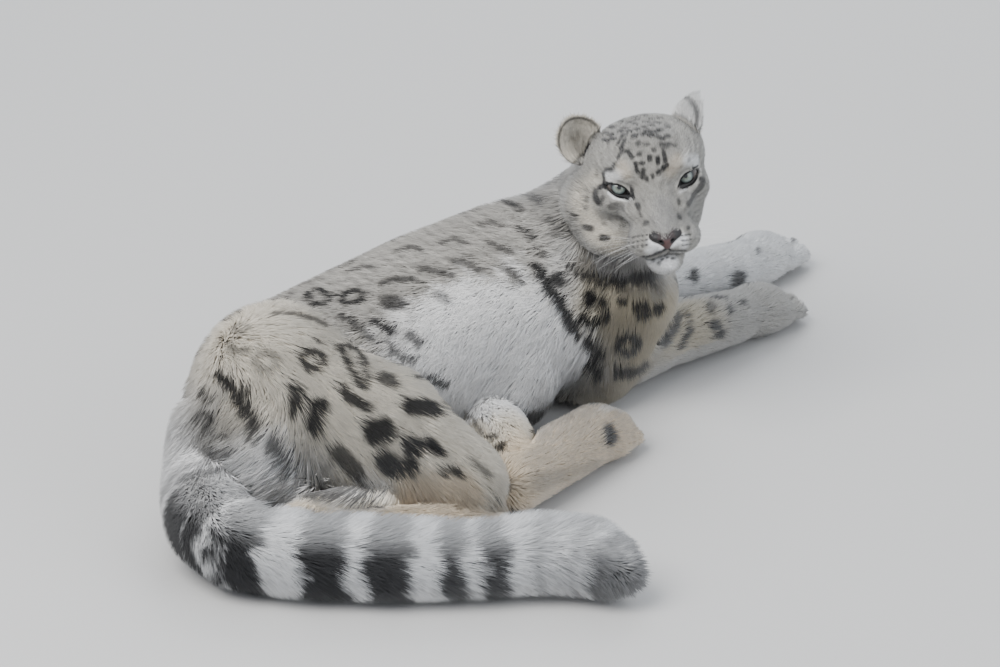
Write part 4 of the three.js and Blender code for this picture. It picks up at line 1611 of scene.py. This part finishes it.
# Tufts as one mesh: four corners each, in four triangles
def tuftMesh(name, points):
    n = len(points) // 4
    starts = np.arange(n)[:, None, None] * 4
    corners = (starts + np.array([[0, 1, 3], [1, 2, 3], [2, 0, 3], [2, 1, 0]])).reshape(-1)
    mesh = bpy.data.meshes.new(name)
    mesh.vertices.add(n * 4)
    mesh.loops.add(n * 12)
    mesh.polygons.add(n * 4)
    mesh.vertices.foreach_set("co", toFrame(points).astype(np.float32).ravel())
    mesh.loops.foreach_set("vertex_index", corners.astype(np.int32))
    mesh.polygons.foreach_set("loop_start", np.arange(0, n * 12, 3, dtype=np.int32))
    mesh.polygons.foreach_set("use_smooth", np.ones(n * 4, bool))
    mesh.update(calc_edges=True)
    return mesh


def growCoat(name, seed):
    names, count, width, finish, slot = coats[name]
    dice = np.random.default_rng(seed)
    faces = facesOf(names)
    middles = faceMiddles[faces]
    weight = np.ones(len(faces))
    if names[0] == "head":
        q = toHead(middles)
        weight = 1 + 1.8 * smooth(30, -20, q[:, 1])  # finer and closer on the face
    weight *= np.where(middles[:, 2] < 3, 0.15, 1)  # little is needed on the underside
    root, normal, shares = scatter(faces, count, dice, weight)
    depth = shares @ partDepths
    length = shares @ np.array([parts[n]["length"] for n in partNames])
    wide = np.full(len(root), width)
    if names[0] == "ear":
        way = lieOfEar(root, normal)
        inward = (normal @ headTurn)[:, 1] < 0
        depth, length = np.where(inward, 5.0, 2.4), np.where(inward, 16.0, 7.0)
    else:
        way = lieOfCoat(root, normal, shares)
    if names[0] == "head":
        root, depth, length, wide, keep = fitHead(root, normal, width)
        root, normal, shares, depth, length, wide, way = (
            v[keep] for v in (root, normal, shares, depth, length, wide, way)
        )
    if names[0] == "thighRight":
        x, y = toPixels(root)
        hem = smooth(250, 285, x) * smooth(425, 385, x) * smooth(440, 475, y)
        hem *= smooth(0.9, 0.4, normal @ bellySide)
        length = length + 22 * hem
        way = unit(way + hem[:, None] * np.array([-0.5, -0.9, -0.7]))
    if finish == "short" and names[0] not in ("head", "ear"):
        tipOf = np.full(len(root), 999.0)
        for part in names:
            tipOf = np.minimum(tipOf, np.linalg.norm(root - lines[part][-1], axis=1))
        toe = smooth(95, 45, tipOf)
        length *= 1 - 0.5 * toe
        depth *= 1 - 0.45 * toe
    if names[0] == "tail":
        place = alongLine(root, lines["tail"])[0]
        length *= 1 - 0.55 * smooth(place.max() - 70, place.max(), place)
    n = len(root)
    sway = np.stack([w(root) for w in clumpWaves], axis=1) * 0.20
    sway += np.stack([w(root) for w in fineWaves], axis=1) * 0.12
    sway += dice.normal(size=(n, 3)) * 0.10
    way = way + sway
    way = unit(way - (way * normal).sum(axis=1, keepdims=True) * normal)
    length = length * dice.uniform(0.72, 1.12, n)
    rise = np.clip(depth / length * dice.uniform(0.75, 1.12, n), 0.05, 0.8)
    tuft = way * np.sqrt(1 - rise**2)[:, None] + normal * rise[:, None]
    tip = root + tuft * length[:, None]
    if names[0] != "ear":
        tip -= normal * np.clip(coatDistance(tip) - 0.5, 0, depth)[:, None]
    tip[:, 2] = np.maximum(tip[:, 2], floorClear + dice.uniform(0, 1.5, n))
    tuft = unit(tip - root)
    side = unit(np.cross(tuft, normal))
    up = np.cross(side, tuft)
    half = (wide * dice.uniform(0.7, 1.25, n) / 2)[:, None]
    base = root - normal * 0.8
    ringPoints = [base + (side * math.cos(a) + up * math.sin(a)) * half for a in np.radians([210, 330, 90])]
    points = np.stack([*ringPoints, tip], axis=1).reshape(-1, 3)
    points[:, 2] = np.maximum(points[:, 2], floorClear)
    mesh = tuftMesh(name, points)
    seen = root + (tip - root) * 0.85
    colour = coatColour(seen, normal, shares, laid)
    if names[0] == "ear":
        colour = earColour(seen, colour)
    foot = colour
    if names[0] == "head":  # small marks keep their shape only if each tuft changes along its length
        foot = coatColour(root + normal * depth[:, None], normal, shares, laid)
    tone = dice.normal(1.0, 0.12 if names[0] == "head" else 0.08, n)[:, None, None]
    # painted shade along each tuft: darker at its root, a little lighter at its tip
    full = np.repeat(foot[:, None, :] * rootShade, 4, axis=1)
    full[:, 3] = colour * 1.04
    full *= tone
    setColour(mesh, "coat", full.reshape(-1, 3))
    addPatches(mesh, root, names, n)
    mesh.materials.append(finishes[finish])
    piece = bpy.data.objects.new(name, mesh)
    bpy.context.scene.collection.objects.link(piece)
    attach(piece, "root")
    stage("%s: %d tufts" % (name, n))


# The map for the bake. The skin is unwrapped along each part and round it. Tufts take places there
# in that order, in columns along the part and up each column round it, so that no two patches meet.
def addPatches(mesh, root, names, n):
    if names[0] in ("head", "ear"):
        q = toHead(root) - [0, 30, -10]
        along = np.arctan2(np.hypot(q[:, 0], q[:, 2]), -q[:, 1])
        around = np.arctan2(q[:, 0], q[:, 2])
    else:
        along = np.zeros(n)
        around = np.zeros(n)
        best = np.full(n, np.inf)
        for i, part in enumerate(v for v in names if isinstance(v, str)):
            place, way, out = alongLine(root, lines[part])
            gap = np.linalg.norm(out, axis=1)
            near = gap < best
            best[near] = gap[near]
            across = unit(np.cross(way, [0.0, 0.0, 1.0]))
            turn = np.arctan2((out * across).sum(axis=1), (out * np.cross(across, way)).sum(axis=1))
            along[near] = place[near] + i * 5000
            around[near] = turn[near]
    columns = int(math.ceil(math.sqrt(n)))
    order = np.argsort(along, kind="stable")
    column = np.empty(n, int)
    column[order] = np.arange(n) // columns
    order = np.lexsort((around, column))
    row = np.empty(n, int)
    row[order] = np.arange(n) - np.searchsorted(column[order], column[order])
    step = 1 / max(columns, 1)
    u, v = (column + 0.5) * step, (row + 0.5) * step
    size = min(patchWidth, step * 0.66) / 2
    turn = np.radians([210, 330, 90])
    ringU, ringV = np.cos(turn) * size, np.sin(turn) * size
    uv = np.zeros((n, 4, 2))
    uv[:, :3, 0], uv[:, :3, 1] = u[:, None] + ringU, v[:, None] + ringV
    uv[:, 3, 0], uv[:, 3, 1] = u, v
    corner = uv[:, [0, 1, 3, 1, 2, 3, 2, 0, 3, 2, 2, 2]]
    mesh.uv_layers.new(name="OFBake").data.foreach_set("uv", corner.astype(np.float32).ravel())


def earColour(p, colour):
    q = toHead(p)
    for name in ("right", "left"):
        side, turn, centre = ears[name]
        spin = turnMatrix("Y", side * ears["lean"]) @ turnMatrix("Z", turn)
        local = (q - np.array(centre, float)) @ spin
        near = np.linalg.norm(local, axis=1) < 48
        radius = np.hypot(local[:, 0] / ears["halfWidth"], local[:, 2] / ears["halfHeight"])
        rimHere = near * smooth(0.93, 1.0, radius) * smooth(1.14, 1.05, radius) * smooth(-6, 14, local[:, 2])
        hollow = near * (local[:, 1] < ears["depth"] * (1 - radius**2))
        colour = colour + (0.55 * near * (1 - hollow))[:, None] * (paint("white") - colour)
        colour = colour + (0.6 * hollow)[:, None] * (paint("cream") - colour)
        shadow = hollow * smooth(0.75, 0.1, radius) * (0.55 + 0.25 * edgeNoise(p))
        colour = colour + (0.8 * shadow)[:, None] * (paint("dusk") - colour)
        colour = colour + (0.72 * rimHere)[:, None] * (paint("black") - colour)
    return colour


def noseSurface(p):
    gap = noseMass(p) + 0.4
    for side in (-1, 1):
        (x, y, z), half = nose["nostril"]
        gap = blendCut(gap, headEgg([side * x, y, z], half, side * 24)(p), 1.6)
    return gap


# Rays from the middle of the nose, each walked out to its surface, by longitude and latitude
def makeNose():
    lat = np.linspace(-math.pi / 2, math.pi / 2, nose["rows"])
    lon = np.linspace(0, 2 * math.pi, nose["sides"], endpoint=False)
    grid = np.stack(
        [
            np.outer(np.cos(lat), np.cos(lon)),
            np.outer(np.cos(lat), np.sin(lon)),
            np.outer(np.sin(lat), np.ones(len(lon))),
        ],
        axis=2,
    ).reshape(-1, 3)
    ways = (grid[:, [0, 2, 1]] * [1, -1, 1]) @ headTurn.T
    start = fromHead([0, -62, -47])
    reach = np.zeros(len(ways))
    for _ in range(60):
        reach = np.maximum(reach - 0.8 * np.minimum(noseSurface(start + ways * reach[:, None]), 0), reach)
    points = start + ways * reach[:, None]
    faces = gridFaces(nose["rows"], nose["sides"])
    if signedVolume(points, faces) < 0:
        faces = faces[:, ::-1]
    piece = meshObject("nose_leather", points, faces.tolist())
    tidyGrid(piece.data)
    q = toHead(meshPoints(piece.data))
    pinkHalf = np.interp(q[:, 2], [-62, -56, -46, -40], [2.5, 6.0, 10.0, 8.0])
    dark = np.maximum(smooth(-1.0, 2.5, np.abs(q[:, 0]) - pinkHalf), 0.8 * smooth(-47, -43, q[:, 2]))
    # painted shade: the nostrils are painted black down in their holes
    nostrilShade = np.zeros(len(q))
    for side in (-1, 1):
        (x, y, z), half = nose["nostril"]
        gap = headEgg([side * x, y, z], [h + 1.4 for h in half], side * 24)(fromHead(q))
        nostrilShade = np.maximum(nostrilShade, smooth(0.8, -0.6, gap))
    pink, black = np.array(nose["pink"]), np.array(nose["black"])
    colour = pink + np.maximum(dark, nostrilShade)[:, None] * (black - pink)
    setColour(piece.data, "coat", colour)
    finish = Finish("nose_leather", Roughness=0.55, Coat_Weight=0.06, Coat_Roughness=0.4)
    pebbles = finish.node("TexVoronoi", {"feature": "SMOOTH_F1"}, Vector=finish.place(), Scale=1100.0)
    grain = finish.ramp(pebbles, [(0.0, 0.9), (1.0, 0.25)])
    finish.feed("Base Color", finish.mix(0.35, finish.attribute("coat"), grain, "MULTIPLY"))
    finish.bump(pebbles, 0.5, 0.0005)
    piece.data.materials.append(finish.material)
    return piece


def tidyGrid(mesh):
    work = bmesh.new()
    work.from_mesh(mesh)
    bmesh.ops.remove_doubles(work, verts=work.verts, dist=0.00001)
    work.to_mesh(mesh)
    work.free()
    mesh.shade_smooth()


# Eyes: the ball, with the clear front bulging over the iris, by angle from the line of sight and turn
iris = {
    "radius": 9.0,
    "pupil": 2.3,
    "bulge": 1.3,
    "right": (619.2, 187.2),
    "left": (685.6, 175.8),
    "rows": 60,
    "sides": 72,
    "shaded": 24.4,  # mm from the pupil's middle that the shader's ramp spans
}


def makeEye(side, pixel):
    centre = fromHead(eyeCentre(side))
    origin, ray = pixelRay(*pixel)
    toBall = centre - origin
    nearest = toBall @ ray
    miss = np.linalg.norm(toBall - nearest * ray)
    hit = origin + ray * (nearest - math.sqrt(max(eye["radius"] ** 2 - miss**2, 1.0)))
    sight = (hit - centre) / np.linalg.norm(hit - centre)
    across = unit(np.cross(sight, [0.0, 0, 1.0])[None])[0]
    upward = np.cross(across, sight)
    angle = np.linspace(0, math.pi, iris["rows"])
    lon = np.linspace(0, 2 * math.pi, iris["sides"], endpoint=False)
    off = eye["radius"] * np.sin(angle)
    lift = iris["bulge"] * np.clip(1 - (off / (iris["radius"] + 1.2)) ** 2, 0, 1) * (angle < 1.2)
    radius = eye["radius"] - 0.2 + lift
    turned = np.cos(lon)[:, None] * across + np.sin(lon)[:, None] * upward
    forward = (radius * np.cos(angle))[:, None, None] * sight
    sideways = (radius * np.sin(angle))[:, None, None] * turned
    points = centre + (forward + sideways).reshape(-1, 3)
    faces = gridFaces(iris["rows"], iris["sides"])
    if signedVolume(points, faces) < 0:
        faces = faces[:, ::-1]
    name = "eyeball_" + ("right" if side < 0 else "left")
    piece = meshObject(name, points, faces.tolist())
    tidyGrid(piece.data)
    out = unit(meshPoints(piece.data) - centre)
    fromSight = np.arccos(np.clip(out @ sight, -1, 1)) * eye["radius"]
    turn = np.arctan2(out @ upward, out @ across)
    rays = 0.5 + 0.5 * np.sin(turn * 37 + 3 * np.sin(turn * 11)) * np.sin(turn * 23 + 1)
    shaded = np.stack([fromSight / iris["shaded"], rays, np.clip(out @ upward, 0, 1)], axis=1)
    setColour(piece.data, "eye", shaded)
    piece.data.materials.append(finishes["eye"])
    return piece


def eyeFinish():
    finish = Finish("eye_wet", Roughness=0.22, Coat_Weight=1.0, Coat_Roughness=0.015, Coat_IOR=1.376)
    away = finish.node("SeparateColor", i0=finish.attribute("eye"))
    rays = Wire(finish.tree, away.socket.node.outputs[1])
    scale = 1 / iris["shaded"]
    ramp = finish.ramp(
        away + rays * 0.004,
        [
            (0.0, (0.004, 0.004, 0.005)),
            (iris["pupil"] * scale, (0.004, 0.004, 0.005)),
            ((iris["pupil"] + 0.5) * scale, (0.10, 0.115, 0.085)),
            (iris["radius"] * 0.62 * scale, (0.19, 0.225, 0.20)),
            (iris["radius"] * 0.86 * scale, (0.115, 0.14, 0.135)),
            (iris["radius"] * scale, (0.02, 0.022, 0.022)),
            ((iris["radius"] + 1.6) * scale, (0.035, 0.03, 0.028)),
            (0.55, (0.09, 0.075, 0.065)),
        ],
    )
    streak = finish.node("CombineColor", i0=rays * 0.45 + 0.68, i1=rays * 0.45 + 0.68, i2=rays * 0.4 + 0.7)
    finish.feed("Base Color", finish.mix(1.0, ramp, streak, "MULTIPLY"))
    return finish.material


finishes["eye"] = eyeFinish()

# Whiskers: curved tapering hairs from three rows on each pad, and a few over the eyes
whiskers = {"length": (40.0, 72.0), "root": 0.17, "tip": 0.05, "steps": 14, "sides": 5}


def makeWhiskers():
    dice = np.random.default_rng(41)
    tracks = []
    for side in (-1, 1):
        for row in range(3):
            for i in range(5):
                root = np.array([side * (22 + 3.6 * i), -62 + 5.2 * i, -50 - 6.0 * row])
                length = dice.uniform(*whiskers["length"]) * (1 - 0.08 * row)
                way = np.array([side * 0.9, -0.1 + 0.13 * i, 0.06 - 0.17 * row]) + dice.normal(size=3) * 0.12
                tracks.append((root, way, length, np.array([0, 0.25, -0.55])))
        for i in range(4):
            root = np.array([side * (30 + 4 * i), -10 + 2 * i, 22])
            way = np.array([side * 0.35, -0.45, 0.85]) + dice.normal(size=3) * 0.1
            tracks.append((root, way, dice.uniform(26, 40), np.array([side * 0.4, 0.5, -0.3])))
    share = np.linspace(0, 1, whiskers["steps"])
    lon = np.linspace(0, 2 * math.pi, whiskers["sides"], endpoint=False)
    points, faces = [], []
    for root, way, length, droop in tracks:
        way = way / np.linalg.norm(way)
        start = root - way * 3
        track = start + way * (share * length)[:, None] + droop * (share**2 * length * 0.28)[:, None]
        run = unit(np.gradient(track, axis=0))
        across = unit(np.cross(run, [0.1, 0.2, 1.0]))
        beside = np.cross(across, run)
        thick = whiskers["root"] + (whiskers["tip"] - whiskers["root"]) * share
        ringed = track[:, None] + thick[:, None, None] * (
            np.cos(lon)[:, None] * across[:, None] + np.sin(lon)[:, None] * beside[:, None]
        )
        base = sum(len(p) for p in points)
        body = ringed.reshape(-1, 3)
        points.append(body)
        grid = gridFaces(whiskers["steps"], whiskers["sides"]) + base
        flip = signedVolume(np.concatenate(points), grid) < 0
        faces += [tuple(f) for f in (grid[:, ::-1] if flip else grid).tolist()]
        low = list(range(base, base + whiskers["sides"]))
        high = list(range(base + len(body) - whiskers["sides"], base + len(body)))
        faces += [tuple(low[::-1] if not flip else low), tuple(high if not flip else high[::-1])]
    piece = meshObject("whiskers", fromHead(np.concatenate(points)), faces)
    finish = Finish("whisker", Roughness=0.35)
    tint = finish.noise(300.0)
    finish.feed("Base Color", finish.ramp(tint, [(0.3, (0.75, 0.74, 0.71)), (0.7, (0.88, 0.87, 0.85))]))
    piece.data.materials.append(finish.material)
    return piece


flesh = [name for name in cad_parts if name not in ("eye_right", "eye_left", "nose")]
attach(skin, "root")
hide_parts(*flesh)
pieces = {
    "eye_right": (makeEye(-1, iris["right"]), "eye"),
    "eye_left": (makeEye(1, iris["left"]), "eye"),
    "nose": (makeNose(), "nose_leather"),
}
for node, (piece, slot) in pieces.items():
    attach(piece, "root")
    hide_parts(node)
hairs = makeWhiskers()
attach(hairs, "root")
stage("eyes, nose and whiskers")

for seed, name in enumerate(coats):
    growCoat(name, coatSeed + seed)
